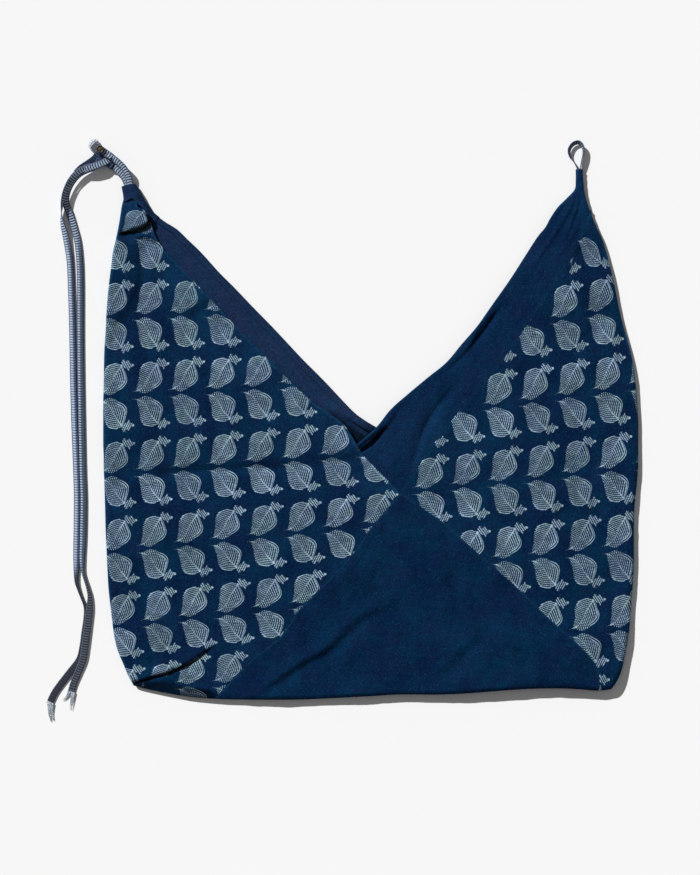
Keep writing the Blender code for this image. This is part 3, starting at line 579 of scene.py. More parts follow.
def turnedUnder(edge, inwards, flats, level, bound, front, settle=None):
    # an edge's turning, from its far end under the cloth to the top of its roll
    radius = cloth["rollRadius"]
    shifts = [(flat, 2 * radius) for flat in flats]
    for angle in (180, 135, 90, 45, 0):
        turned = math.radians(angle)
        shifts.append((radius * (1 - math.sin(turned)), radius * (1 - math.cos(turned))))
    columns = []
    for shift, fall in shifts:
        spot = edge + inwards * shift
        y = settle(spot[:, 0:1], spot[:, 1:2])[:, 0] if settle else spot[:, 1]
        z = np.maximum(level - fall, bound) if front else np.minimum(level + fall, bound)
        columns.append(np.stack([spot[:, 0], y, z], axis=-1))
    return np.stack(columns, 1)


def betweenTurnings(points, edges, inwards, flats, bound, front, settle=None):
    # a layer of cloth whose rows end in turned-under edges on both sides
    first = turnedUnder(edges[0], inwards, flats, points[:, 0, 2], bound[:, 0], front, settle)
    last = turnedUnder(edges[1], -inwards, flats, points[:, -1, 2], bound[:, -1], front, settle)
    return np.concatenate([first, points, last[:, ::-1]], axis=1)


def edgeWear(near, bothEdges=True):
    # wear over an edge's turning, and on the cloth beside it
    rim = np.repeat([[0, 0, 0, 0.1, 0.4, 0.8, 1.0, 0.9]], len(near), 0)
    parts = [rim, np.exp(-(near / cloth["wearReach"]) ** 2) * 0.8, rim[:, ::-1]]
    return np.concatenate(parts if bothEdges else parts[:2], axis=1)


def fitted(piece, material, slot, *nodes):
    piece.data.materials.append(material)
    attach(piece, "root")
    if nodes:
        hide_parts(*nodes)
    print(piece.name, "made,", len(piece.data.polygons), "faces")
    return piece


def pieceOf(name, shape):
    bmesh.ops.recalc_face_normals(shape, faces=shape.faces)
    mesh = bpy.data.meshes.new(name)
    shape.to_mesh(mesh)
    shape.free()
    piece = bpy.data.objects.new(name, mesh)
    bpy.context.collection.objects.link(piece)
    return piece


def clothObject(name, node, grids, material, slot, bareAbove=1000.0, missed=()):
    # each grid: points rows x columns x 3, wear and painted rim highlight rows x columns, and
    # perhaps places on the print
    shape = bmesh.new()
    # marks at each point: wear with a painted rim highlight, missing print, and painted shade
    marks = [shape.verts.layers.float.new(kind) for kind in ("wearAndRimLight", "bare", "paintedShade")]
    printed = shape.loops.layers.uv.new("print")
    for points, wornAndLit, *onPrint in grids:
        rows, columns = points.shape[:2]
        x, y = points[..., 0].reshape(-1), points[..., 1].reshape(-1)
        bare = np.clip((y - bareAbove) / 2.0, 0, 1)
        for middleX, middleY, halfWide, halfHigh in missed:
            off = np.hypot((x - middleX) / halfWide, (y - middleY) / halfHigh)
            bare = np.maximum(bare, np.clip((1 - off) * 8, 0, 1))
        shares = np.stack([wornAndLit.reshape(-1), bare, paintedShadeShare(name, x, y)], axis=1)
        verts = []
        for point, amounts in zip(toFrame(points).tolist(), shares.tolist()):
            vert = shape.verts.new(point)
            for layer, amount in zip(marks, amounts):
                vert[layer] = amount
            verts.append(vert)
        places = (onPrint[0] if onPrint else points[..., :2]).reshape(-1, 2) / 100
        places = places.tolist()
        for i in range(rows - 1):
            for j in range(columns - 1):
                k = i * columns + j
                corners = (k, k + columns, k + columns + 1, k + 1)
                face = shape.faces.new([verts[corner] for corner in corners])
                face.smooth = True
                for loop, corner in zip(face.loops, corners):
                    loop[printed].uv = places[corner]
    bmesh.ops.remove_doubles(shape, verts=shape.verts, dist=cloth["weld"] * mm)
    piece = pieceOf(name, shape)
    wall = piece.modifiers.new("clothThickness", "SOLIDIFY")
    wall.thickness, wall.offset = cloth["thick"] * mm, 0.0
    deselectAll()
    bpy.context.view_layer.objects.active = piece
    piece.select_set(True)
    bpy.ops.object.modifier_apply(modifier=wall.name)
    return fitted(piece, material, slot, node)


def rowTargets(lengths, fineStart, fineEnd):
    # row places along a line: close set for a stretch at its start and end
    end, at, places = lengths[-1], 0.0, [0.0]
    while at < end:
        nearEnd = min(at / max(fineStart, 1e-6), (end - at) / max(fineEnd, 1e-6), 1.0)
        at += cloth["fineRow"] + (cloth["row"] - cloth["fineRow"]) * nearEnd ** 2
        places.append(min(at, end))
    if places[-1] - places[-2] < 0.4:
        places.pop(-2)
    return np.array(places)


def bottomTargets(lengths, width):
    # rows that come closer together round the bottom edge
    whole = lengths[-1]
    even = rowTargets(lengths, 0, cloth["fineBottom"])
    turning = [whole - 1.25 * width * (1 - math.cos(a)) for a in foldAngles[::-1]]
    return np.concatenate([even[even < whole - width * 1.25], turning, [whole]])


def sagged(x, y, rows, last):
    # the lowest rows follow the curve of the bottom edge
    lift = 0.5 * (rows[:, 1] + rows[:, 3] - last[1] - last[3])[:, None]
    weight = np.clip(1 - lift / cloth["sagReach"], 0, 1) ** 2
    share = np.clip((x - last[0]) / (last[2] - last[0]), 0, 1)
    return y + weight * (bottomY(x) - (last[1] + (last[3] - last[1]) * share))


# u and v: where the print lies, by powers of the place; missed: centre and half widths of
# places without print; top: rise, drop and squeeze of the rows under the band round the neck
leftPrint = {"middle": (130, 220), "u": (97.975, 99.797, 4.251, -1.685, 1.017, -0.989),
             "v": (184.099, 9.358, -102.914, 0.631, -2.665, 1.145),
             # pleats hide some of the print, so it starts again elsewhere behind them
             "shifts": [{"line": folds["under the left horn"]["line"], "side": 1, "across": 16.34,
                         "down": lambda x, y: -0.42 * (y - 486.2)},
                        {"line": folds["lower left tuck"]["line"] + [(140, 57.5), (185, 61)],
                         "side": -1, "across": 7.7,
                         "down": lambda x, y: 6.0 * np.clip((150 - x) / 60, 0, 1.3)}],
             "bareAbove": 513, "hemWear": 0.75, "faded": 0.2, "seamPull": 0.32,
             "missed": [(57, 17.5, 17, 8.5)],
             "top": ((12, -3.8, 0.62), (9, -3.0, 0.72), (6, -1.9, 0.83), (3.5, -1.0, 0.91),
                     (1.5, -0.4, 0.97))}
rightPrint = {"middle": (430, 220), "u": (107.154, 99.256, 5.76, 0.412, 0.954, 0.703),
              "v": (7.793, 10.531, -99.208, 0.439, 2.794, -0.103), "shifts": [],
              "gathered": (489.0, 0.5, 442, 476), "bareAbove": 480.8, "hemWear": 0.2,
              "faded": 0.04, "seamPull": 0.18,
              "missed": [(479, 466, 12, 13), (474.5, 450.5, 13.5, 10.5), (449, 404, 10.5, 13),
                         (380.5, 311.5, 12, 11.5)],
              "top": ((7.0, -3.0, 0.72), (5.0, -2.4, 0.78), (3.0, -1.6, 0.85), (1.4, -0.8, 0.92),
                      (0.5, -0.3, 0.97))}


def easeShare(value, low, high):
    t = np.clip((value - low) / (high - low), 0, 1)
    return t * t * (3 - 2 * t)


def printPlace(x, y, layout):
    a, b = (x - layout["middle"][0]) / 100, (y - layout["middle"][1]) / 100
    terms = np.stack([np.ones_like(a), a, b, a * a, a * b, b * b], axis=-1)
    place = np.stack([terms @ np.array(layout["u"]), terms @ np.array(layout["v"])], axis=-1)
    for shift in layout["shifts"]:
        side = lineDistance(x, y, smoothLine(shift["line"], 5))[1]
        moved = place + np.stack([shift["across"] + 0 * x, shift["down"](x, y)], axis=-1)
        place = np.where((side * shift["side"] > 0)[..., None], moved, place)
    if "gathered" in layout:
        middle, amount, low, high = layout["gathered"]
        place[..., 0] += (x - middle) * amount * easeShare(y, low, high)
    return place


def pucker(distance, along, seed):
    # small gathers that the stitching draws beside a seam
    return gathers["height"] * np.exp(-np.abs(distance) / gathers["reach"]) * np.sin(
        along * 2 * math.pi / gathers["every"] + 2.5 * np.sin(along / gathers["drift"] + seed))


def panelHalf(rows, last, edge, front, layout, hemRows):
    # one layer of a panel, columns from its turned edge to the side fold
    side = rows[:, 2:4]
    inwards = unit(side - edge)
    edge = edge + inwards * layout["seamPull"]
    span = np.linalg.norm(side - edge, axis=1)
    width = np.minimum(openingAt(side[:, 0], side[:, 1])[1], span / 3)
    inner = np.minimum(cloth["rollRadius"] * 1.6, span / 6)
    count = cloth["frontColumns"] if front else cloth["backColumns"]
    shares = (np.arange(count, 0, -1) / count)[None, :] ** cloth["crowding"]
    flatPart = width[:, None] + (span - inner - width)[:, None] * shares
    foldPart = width[:, None] * (1 - np.cos(foldAngles[::-1]))
    fromSide = np.concatenate([flatPart, foldPart, np.zeros((len(rows), 1))], axis=1)
    closed = np.concatenate([np.ones(count), np.sin(foldAngles[::-1]), [0]])[None, :]
    x = side[:, 0:1] - inwards[:, 0:1] * fromSide
    y = sagged(x, side[:, 1:2] - inwards[:, 1:2] * fromSide, rows, last)
    back, high = layerHeights(x, y, closed)
    fromEdge = span[:, None] - fromSide
    along = lengthsAlong(edge)[:, None]
    stitched = 1.0 - (hemRows & (layout["hemWear"] > 0.5))[:, None]
    if front:
        z = high + pucker(fromEdge, along, 2) * stitched * closed
        z = z + 0.15 * np.exp(-fromEdge / 3.0) * (1 - stitched)
    else:
        z = back + 0.5 * pucker(fromEdge, along, 4) * stitched * closed
    bound = 0.5 * (back[:, 0] + high[:, 0]) + cloth["turnGap"] * (1 if front else -1)
    reach = np.minimum(cloth["turnIn"], span * 0.35)[:, None]
    turned = turnedUnder(edge, inwards, [reach, 0.6 * reach, 0.3 * reach], z[:, 0], bound, front,
                         lambda spotX, spotY: sagged(spotX, spotY, rows, last))
    points = np.concatenate([turned, np.stack([x, y, z], axis=-1)], axis=1)
    wearAndRimLight = edgeWear(fromEdge, False) * np.where(hemRows, layout["hemWear"], 0.25)[:, None]
    faded = layout["faded"] * np.exp(-(fromEdge / 50.0) ** 2) * hemRows[:, None]
    # painted highlight: the side fold's outer rim is made paler, as if it caught the light; near a
    # hem the cloth is also faded
    wearAndRimLight[:, -fromSide.shape[1]:] += 0.75 * np.exp(-(fromSide / 1.5) ** 2) + faded
    flatX = points[..., 0] if front else 2 * side[:, 0:1] - points[..., 0]
    return points, wearAndRimLight, printPlace(flatX, points[..., 1], layout)


def makePanel(name, node, above, seam, layout, material):
    upper, lower = smoothLine(above[:, :6]), smoothLine(np.vstack([above[-1, :4], seam]))
    last = seam[-1]
    upLength, downLength = lengthsAlong(upper[:, :2]), lengthsAlong(lower[:, :2])
    upRows = sampleAt(upper, upLength, rowTargets(upLength, cloth["fineTop"], 0))
    targets = bottomTargets(downLength, openingAt(last[2], last[3])[1])
    downRows = sampleAt(lower, downLength, targets)[1:]
    rows = np.concatenate([upRows, np.concatenate([downRows, downRows[:, :2]], axis=1)])
    hemRows = np.arange(len(rows)) < len(upRows)
    front = panelHalf(rows, last, rows[:, 0:2], True, layout, hemRows)
    back = panelHalf(rows, last, rows[:, 4:6], False, layout, hemRows)
    grid = [np.concatenate([f, b[:, -2::-1]], axis=1) for f, b in zip(front, back)]
    # the top edge of the panel goes on under the band round the neck
    topRows = []
    for rise, drop, squeeze in layout["top"]:
        row = grid[0][0].copy()
        row[:, 1] += rise
        low, high = row.min(axis=0), row.max(axis=0)
        centre, middle = 0.5 * (high[0] + low[0]), 0.5 * (high[2] + low[2])
        row[:, 0] = centre + (row[:, 0] - centre) * squeeze
        row[:, 2] = np.where(row[:, 2] > middle, np.maximum(row[:, 2] + drop, middle), row[:, 2])
        topRows.append(row)
    points = np.concatenate([np.array(topRows), grid[0]])
    wearAndRimLight, places = [np.concatenate([np.repeat(part[:1], len(topRows), 0), part])
                    for part in grid[1:]]
    return clothObject(name, node, [(points, wearAndRimLight, places)], material, "indigo_print",
                       layout["bareAbove"], layout["missed"])


base = {"corner": (308.5, 215), "columns": 92, "firstRow": 1.6, "widthAt": (235.5, 10.0),
        "bottom": (116, 0.5, 514.5, 9.5), "leastPullSlope": 0.2, "easing": 0.08}


def makeBase(material):
    edges = [np.vstack([base["corner"], seam[:, :2]]) for seam in (leftSeam, rightSeam)]
    fine = smoothLine(np.concatenate(edges, axis=1))
    lengths = lengthsAlong(fine[:, :2])
    targets = bottomTargets(lengths, openingAt(*base["widthAt"])[1])
    targets[0] = base["firstRow"]
    rows = sampleAt(fine, lengths, targets)
    start, end = rows[:, :2], rows[:, 2:4]
    across = unit(end - start)
    span = np.linalg.norm(end - start, axis=1)
    slope = np.maximum(np.abs(across[:, 0]), base["leastPullSlope"])
    pull = np.minimum(cloth["seamPull"] / slope, span / 4)[:, None]
    start, end = start + across * pull, end - across * pull
    span = np.linalg.norm(end - start, axis=1)
    inner = np.minimum(cloth["rollRadius"] * 1.6, span / 5)
    even = np.linspace(0, 1, base["columns"])[None, :]
    ease = even - base["easing"] * np.sin(2 * math.pi * even)
    fromStart = inner[:, None] + (span - 2 * inner)[:, None] * ease
    x = start[:, 0:1] + across[:, 0:1] * fromStart
    y = sagged(x, start[:, 1:2] + across[:, 1:2] * fromStart, rows, base["bottom"])
    back, high = layerHeights(x, y, 1.0)
    along = lengthsAlong(rows[:, :2])[:, None]
    near = np.minimum(fromStart, span[:, None] - fromStart)
    reach = np.maximum(np.minimum(cloth["turnIn"], span / 3)[:, None], 1.0)
    layers = []
    for front, z in ((True, high + pucker(near, along, 5)),
                     (False, back + 0.5 * pucker(near, along, 6))):
        bound = 0.5 * (back + high) + cloth["turnGap"] * (1 if front else -1)
        layers.append(betweenTurnings(
            np.stack([x, y, z], axis=-1), (start, end), across, [reach, 0.6 * reach, 0.3], bound,
            front, lambda spotX, spotY: sagged(spotX, spotY, rows, base["bottom"])))
    points = np.concatenate([layers[0], layers[1][-2::-1]])
    wearAndRimLight = edgeWear(near) * 0.4
    wearAndRimLight = np.concatenate([wearAndRimLight, wearAndRimLight[-2::-1]])
    return clothObject("basePanel", "base_panel", [(points, wearAndRimLight)], material, "indigo_plain")


# fold and lip: from where to where up the horn the band is wrapped into a tip, how wide its
# rounding is there, and what share stays open
frontCut = {"columns": 34, "turnIn": 6.5, "wearAndRimLight": 0.4, "seamPull": rightPrint["seamPull"],
            "fold": (500, 506, 3.2, 0.0), "lip": (503, 531, 3.4, 0.12), "tucked": 2.4,
            "tail": [(-2.0, -1.8), (-4.5, -4.0), (-7.0, -6.2)]}
backCut = {"columns": 26, "turnIn": 8.0, "wearAndRimLight": 0.3, "seamPull": leftPrint["seamPull"],
           "fold": (513, 520, 3.0, 0.0), "lip": (500, 530, 4.0, 0.1)}


def wrapped(distance, span, rows, low, high, width, least):
    share = easeShare(0.5 * (rows[:, 1] + rows[:, 3]), low, high)[:, None]
    rounding = rounded(distance, np.minimum(width, span / 2)[:, None])
    return 1 - share * (1 - np.maximum(least, rounding))


def stripPoints(rows, cut, front, drop=0.0):
    # a strip of band between its free edge and its sewn edge, both turned under
    free, sewn = rows[:, 0:2], rows[:, 2:4]
    across = unit(sewn - free)
    span = np.linalg.norm(sewn - free, axis=1)
    inner = np.minimum(cloth["rollRadius"] * 1.6, span / 5)
    sewn = sewn - across * np.minimum(cut["seamPull"], span / 8)[:, None]
    shares = np.linspace(0, 1, cut["columns"])[None, :]
    fromFree = inner[:, None] + (span - 2 * inner)[:, None] * shares
    fromSewn = span[:, None] - fromFree
    x = free[:, 0:1] + across[:, 0:1] * fromFree
    y = free[:, 1:2] + across[:, 1:2] * fromFree
    back, high = layerHeights(x, y, wrapped(fromSewn, span, rows, *cut["fold"]),
                              wrapped(fromFree, span, rows, *cut["lip"]))
    along = lengthsAlong(free)[:, None]
    puckers = pucker(fromSewn, along, 7) + 0.6 * pucker(fromFree, along, 9)
    if front:
        z, bound = high + drop + puckers, 0.5 * (back + high) + drop
    else:
        z, bound = back + relief(x, y, [mouthDip]) + 0.5 * puckers, np.full(x.shape, np.inf)
    reach = np.minimum(cut["turnIn"], span / 2.5)[:, None]
    points = betweenTurnings(np.stack([x, y, z], axis=-1), (free, sewn), across,
                             [reach, 0.6 * reach, 0.3], bound, front)
    return points, edgeWear(np.minimum(fromFree, fromSewn)) * cut["wearAndRimLight"]


def tipBack():
    # the under side of the wrapped right tip, from lip to side fold
    fine = smoothLine(rightTip)
    lengths = lengthsAlong(fine[:, 2:])
    rows = sampleAt(fine, lengths, np.linspace(0, lengths[-1], 30))
    shares = 0.5 - 0.5 * np.cos(np.linspace(0, math.pi, 14))[None, :]
    x = rows[:, 0:1] + (rows[:, 2:3] - rows[:, 0:1]) * shares
    y = rows[:, 1:2] + (rows[:, 3:4] - rows[:, 1:2]) * shares
    dip = np.sqrt(np.clip(1 - (2 * shares - 1) ** 2, 0, 1))
    z = cloth["floorGap"] + 0.5 * openingAt(x, y)[0] * (1 - dip)
    return np.stack([x, y, z], axis=-1), np.zeros(x.shape)


def makeFrontBand(material):
    fine = smoothLine(np.vstack([rightTip, rightAbove[:, [6, 7, 0, 1]]]))
    lengths = lengthsAlong(0.5 * (fine[:, :2] + fine[:, 2:]))
    rows = sampleAt(fine, lengths, rowTargets(lengths, 90, 60))
    # the end goes on under the left flap
    rows = np.vstack([rows, [rows[-1] + np.tile(shift, 2) for shift in frontCut["tail"]]])
    middle = 0.5 * (rows[:, :2] + rows[:, 2:])
    flap = lineDistance(middle[:, 0], middle[:, 1], leftAbove[12:, :2])[0]
    under = np.exp(-(flap / 5.0) ** 2)
    under[-len(frontCut["tail"]):] = 1.0
    front = stripPoints(rows, frontCut, True, -frontCut["tucked"] * under[:, None])
    return clothObject("frontBand", "front_band", [front, tipBack()], material, "indigo_band")


# the front of the left neck: its lower hem is a slanting V over the printed cloth
neck = {"top": [(19, 533.5), (32.5, 536.5)], "rows": 30, "columns": 40,
        "side": [(19, 533.5), (20.5, 525.5), (21.3, 517.6)],
        "hem": [(21.3, 517.6), (24.5, 519.2), (30.1, 521.6), (33.6, 519.0), (37.2, 515.3),
                (43.7, 508.0), (49.2, 502.0), (54.5, 496.5)],
        "lip": [(32.5, 536.5), (37.5, 529), (42.5, 520), (47.5, 512.5), (53, 505),
                (59.5, 500.5)], "hemRadius": 0.5, "turnIn": 3.0}


def alongLine(name, shares):
    line = smoothLine(neck[name], 8)
    lengths = lengthsAlong(line)
    return sampleAt(line, lengths, lengths[-1] * shares)


def neckFront():
    t, s = np.linspace(0, 1, neck["columns"])[None, :], np.linspace(0, 1, neck["rows"])[:, None]
    topLeft, topRight = np.array(neck["top"])
    top = topLeft + t[0][:, None] * (topRight - topLeft)
    low = alongLine("hem", t[0] ** 1.15)
    plane = top * (1 - s[..., None]) + low * s[..., None]
    leftFix = alongLine("side", s[:, 0]) - plane[:, 0]
    rightFix = alongLine("lip", s[:, 0]) - plane[:, -1]
    fix = leftFix[:, None] * (1 - t[..., None]) + rightFix[:, None] * t[..., None]
    plane[:-1] += fix[:-1]
    x, y = plane[..., 0], plane[..., 1]
    arch = np.sqrt(np.clip(1 - (2 * t - 1) ** 2, 0, 1))
    fall = easeShare(t, 0.45, 0.95) * easeShare(s, 0.25, 0.8)
    level = 0.5 + 0.5 * arch * (1 - 0.3 * fall) - 0.38 * fall
    z = cloth["floorGap"] + (openingAt(x, y)[0] + 1.0) * level + 0.25 * ripple(x, y, 14, 21)
    points = np.stack([x, y, z], axis=-1)
    # turn the lower hem under
    inwards = np.zeros_like(points[-1])
    inwards[:, :2] = unit(points[-4, :, :2] - points[-1, :, :2])
    turned, radius = [], neck["hemRadius"]
    for angle in (45, 90, 135, 180):
        a = math.radians(angle)
        turned.append((-radius * math.sin(a), radius * (1 - math.cos(a))))
    turned.append((neck["turnIn"], 2 * radius))
    hem = [points[-1] + inwards * shift - (0, 0, fall) for shift, fall in turned]
    wearAndRimLight = np.zeros((len(points) + len(hem), points.shape[1]))
    wearAndRimLight[-len(hem):], wearAndRimLight[-len(hem) - 1] = 0.3, 0.5
    return np.concatenate([points, np.array(hem)]), wearAndRimLight


def makeBackBand(material):
    # The band's inside shows between the flap and the mouth's far edge.
    fine = smoothLine(np.vstack([leftTip, leftAbove[:, [6, 7, 4, 5]]]))
    lengths = lengthsAlong(fine[:, :2])
    rows = sampleAt(fine, lengths, rowTargets(lengths, 70, 0))
    back = stripPoints(rows, backCut, False)
    return clothObject("backBand", "back_band", [back, neckFront()], material, "indigo_band")


tape = {"wide": 7.5, "thick": 0.9, "loopWide": 6.0, "loopThick": 0.95, "ladderStep": 2.7,
        "edgeStitch": 1.35, "tieStep": 0.9, "loopStep": 0.7, "knotStep": 0.7, "bightStep": 0.6,
        "barRise": 0.16, "bar": (0.40, 0.49, 0.62, 1), "ground": (0.020, 0.034, 0.080, 1),
        "edge": (0.030, 0.040, 0.085, 1), "rubbed": (0.016, 0.018, 0.030, 1),
        "pale": (0.50, 0.55, 0.62, 1)}
# the long stretch between a tape's two bends, with painted light: its ground, lighter on the lit
# side of the ridge, how strong its bars are on the shaded side of the ridge and on the last
# stretch, and the painted shade of the ground past the ridge
hanging = {"litBright": {"ground": (0.13, 0.17, 0.25, 1), "shadedSideBars": 0.25, "lastBars": 0.05,
                      "shadedSide": (0.024, 0.045, 0.11, 1), "litSide": -1},
           "shadedSlate": {"ground": (0.07, 0.08, 0.125, 1), "shadedSideBars": 0.15, "lastBars": 0.17,
                     "shadedSide": (0.038, 0.070, 0.120, 1), "litSide": 1}}


def tapeMaterial(name, barColour, groundColour, barShare=0.1, wornAndLit=None):
    material, shader, where = startMaterial(name, 0.85, 0.2, 0.05)
    across, along = split(added(where.tree, "UVMap", {}, uv_map="route"))[:2]
    along = along * 100.0
    off = (across - 0.5).do("ABSOLUTE")
    wobble = noise(where, 500, 2) * 0.7
    ladder = stripes(along + wobble + off * 1.2, tape["ladderStep"], -0.35 - barShare,
                     0.45 - barShare)
    centre = between(off, 0.33, 0.40, 1.0, 0.0)
    stitches = between(off, 0.41, 0.44) * between(off, 0.46, 0.5, 1.0, 0.0)
    stitches = stitches * stripes(along, tape["edgeStitch"])
    bars = ladder * centre
    ground = blendColour(between(off, 0.40, 0.45), groundColour, tape["edge"])
    if wornAndLit:
        upBag = split(where)[1]
        share = between(upBag, 0.17, 0.205, 1.0, 0.0) * between(upBag, -0.168, -0.148)
        # painted light: the lit side of the ridge shows its bars in full, the shaded side only
        # weakly
        shadedSide = (across - 0.55) * -wornAndLit["litSide"]
        strength = between(shadedSide, -0.06, 0.06, 1.0, wornAndLit["shadedSideBars"])
        sideGround = blendColour(between(shadedSide, -0.06, 0.06), wornAndLit["ground"],
                                 wornAndLit["shadedSide"])
        bars = bars * (share * (strength - 1.0) + 1.0)
        ground = blendColour(share, ground, blendColour(centre, tape["edge"], sideGround))
        # the last stretch to the ends is rubbed darker
        bars = bars * between(upBag, -0.165, -0.14, wornAndLit["lastBars"], 1.0)
        ground = blendColour(between(upBag, -0.175, -0.15), tape["rubbed"], ground)
    grain = between(noise(where, 1400, 2, 0.7), 0.25, 0.75, 0.65, 1.2)
    pale = bars.do("MAXIMUM", stitches * 0.7) * grain
    feed(shader["Base Color"], blendColour(pale, ground, barColour))
    feed(shader["Normal"], bumpOf(pale, 0.8, 0.00025))
    return material


# around a tape's section, in shares of its width and thickness
tapeSection = [(-0.5, 0.0), (-0.46, 0.42), (-0.3, 0.5), (0.0, 0.5), (0.3, 0.5), (0.46, 0.42),
               (0.5, 0.0), (0.46, -0.42), (0.3, -0.5), (0.0, -0.5), (-0.3, -0.5), (-0.46, -0.42)]


def rollFrames(points, rolls):
    # how the tape faces at each point: across and up
    ahead = unit(np.gradient(points, axis=0))
    across = unit(np.cross(ahead, (0, 0, 1.0)))
    face = np.cross(across, ahead)
    turn = np.radians(rolls)[:, None]
    return across * np.cos(turn) + face * np.sin(turn), face * np.cos(turn) - across * np.sin(turn)


def ribbonRings(samples, wide, thick, tent=0.0, ridge=0.5):
    # a flat section carried along the route, its bars standing a little proud; the tent
    # lifts it lengthwise along a ridge
    points = samples[:, :3]
    across, face = rollFrames(points, samples[:, 3])
    lengths = lengthsAlong(points)
    swell = 1 + tape["barRise"] * np.sin(lengths * 2 * math.pi / tape["ladderStep"])[:, None]
    rings = []
    for a, b in tapeSection:
        lift = tent * np.minimum((a + 0.5) / ridge, (0.5 - a) / (1 - ridge))
        rings.append(points + across * (wide * a) + face * lift
                     + face * (thick * b) * (swell if abs(a) < 0.4 else 1.0))
    return np.stack(rings, axis=1), lengths


def ringsObject(name, parts, material, *nodes):
    # parts: the rings of each ribbon or thread; a ribbon's come with the lengths along it
    shape = bmesh.new()
    route = shape.loops.layers.uv.new("route") if len(parts[0]) > 1 else None
    acrossPlaces = [place[0] + 0.5 for place in tapeSection + tapeSection[:1]]
    for rings, *lengths in parts:
        verts = [[shape.verts.new(point) for point in toFrame(ring).tolist()] for ring in rings]
        count = len(verts[0])
        for i, (here, following) in enumerate(zip(verts, verts[1:])):
            for k in range(count):
                n = (k + 1) % count
                face = shape.faces.new((here[k], here[n], following[n], following[k]))
                face.smooth = True
                if route:
                    start, end = lengths[0][i:i + 2]
                    places = ((k, start), (k + 1, start), (k + 1, end), (k, end))
                    for loop, (column, length) in zip(face.loops, places):
                        loop[route].uv = (acrossPlaces[column], length / 100)
        shape.faces.new(verts[0])
        shape.faces.new(verts[-1])
    return fitted(pieceOf(name, shape), material, "woven_tape", *nodes)


# The two ties: x, y, z and roll (0 lies flat, 90 stands on edge), neck to frayed end.
upperTie = [
    (29.5, 526.0, 4.1, 0), (27.4, 536.0, 4.2, 0), (25.8, 544.0, 5.6, 15), (21.8, 552.0, 7.0, 30),
    (15.0, 559.0, 7.2, 30), (8.5, 563.6, 6.2, 15), (4.0, 566.1, 5.6, 8), (-4.0, 561.5, 5.2, 10),
    (-11.6, 554.8, 6.0, 20), (-18.5, 552.0, 7.0, 22), (-25.9, 547.7, 7.4, 24),
    (-33.2, 539.8, 7.4, 32), (-38.4, 530, 7.0, 44), (-41.4, 521.5, 6.4, 62), (-43.3, 512, 5.2, 84),
    (-43.7, 501.5, 4.4, 110), (-42.2, 492.5, 3.4, 136), (-39.6, 482, 2.0, 158),
    (-36.8, 468, 1.2, 174), (-34.8, 452, 0.8, 180), (-33.4, 415.5, 0.7, 180),
    (-32.4, 379, 0.7, 180), (-31.6, 332.5, 0.7, 180), (-30.4, 290, 0.7, 180),
    (-28.4, 238.5, 0.7, 180), (-27.6, 207.5, 0.7, 180), (-28.0, 171, 0.7, 180),
    (-28.4, 145, 0.8, 180, 0.95), (-28.6, 124, 1.2, 180, 0.6), (-26.2, 114, 1.2, 180, 0.42),
    (-23.6, 106.9, 1.0, 180, 0.38), (-19.6, 96, 0.8, 180, 0.45), (-18.2, 84.8, 0.6, 180, 0.85),
    (-20.1, 67.1, 0.6, 180), (-21.8, 54.9, 0.6, 180), (-25.4, 41.1, 0.6, 180),
    (-36.0, 27.0, 0.7, 180), (-45.2, 15.1, 0.7, 180), (-51.8, 5.4, 0.7, 180),
    (-56.6, -5.0, 0.7, 180)]
lowerTie = [
    (26.5, 526.0, 2.8, 0), (24.9, 535.0, 2.8, 0), (20.8, 544.2, 2.9, 0), (14.4, 550.8, 3.2, 8),
    (8.6, 555.6, 3.4, 12), (3.8, 558.6, 3.4, 12), (-4.5, 557.4, 3.2, 8),
    (-11.4, 553.4, 3.4, 10), (-18.5, 550.6, 4.2, 14), (-25.9, 546.4, 4.6, 16),
    (-32.8, 538.6, 4.6, 20), (-37.6, 529, 4.2, 24), (-39.4, 520, 3.4, 22), (-38.4, 513, 2.4, 16),
    (-35.6, 506, 1.6, 10), (-33.2, 499, 1.0, 5), (-30.2, 488.3, 0.8, 0),
    (-27.2, 476.4, 0.7, 0), (-25.2, 457.1, 0.7, 0), (-24.4, 430, 0.7, 0),
    (-24.4, 379, 0.7, 0), (-23.9, 332.5, 0.7, 0), (-23.2, 290, 0.7, 0),
    (-22.2, 238.5, 0.7, 0), (-21.2, 207.5, 0.7, 0), (-21.8, 171, 0.8, 0),
    (-22.6, 145, 1.0, 0, 0.8), (-21.6, 131.6, 1.4, 0, 0.45), (-17.2, 117.3, 1.6, 0, 0.45),
    (-14.8, 107, 1.7, 0, 0.6), (-14.9, 95.2, 1.7, 0, 0.92), (-15.9, 84.8, 1.6, 0),
    (-18.0, 67.1, 1.6, 0), (-19.6, 54.9, 1.6, 0), (-21.8, 41.1, 1.5, 0), (-26.5, 28.6, 1.2, 0),
    (-31.6, 15.8, 0.9, 0), (-34.3, 6.0, 0.8, 0)]
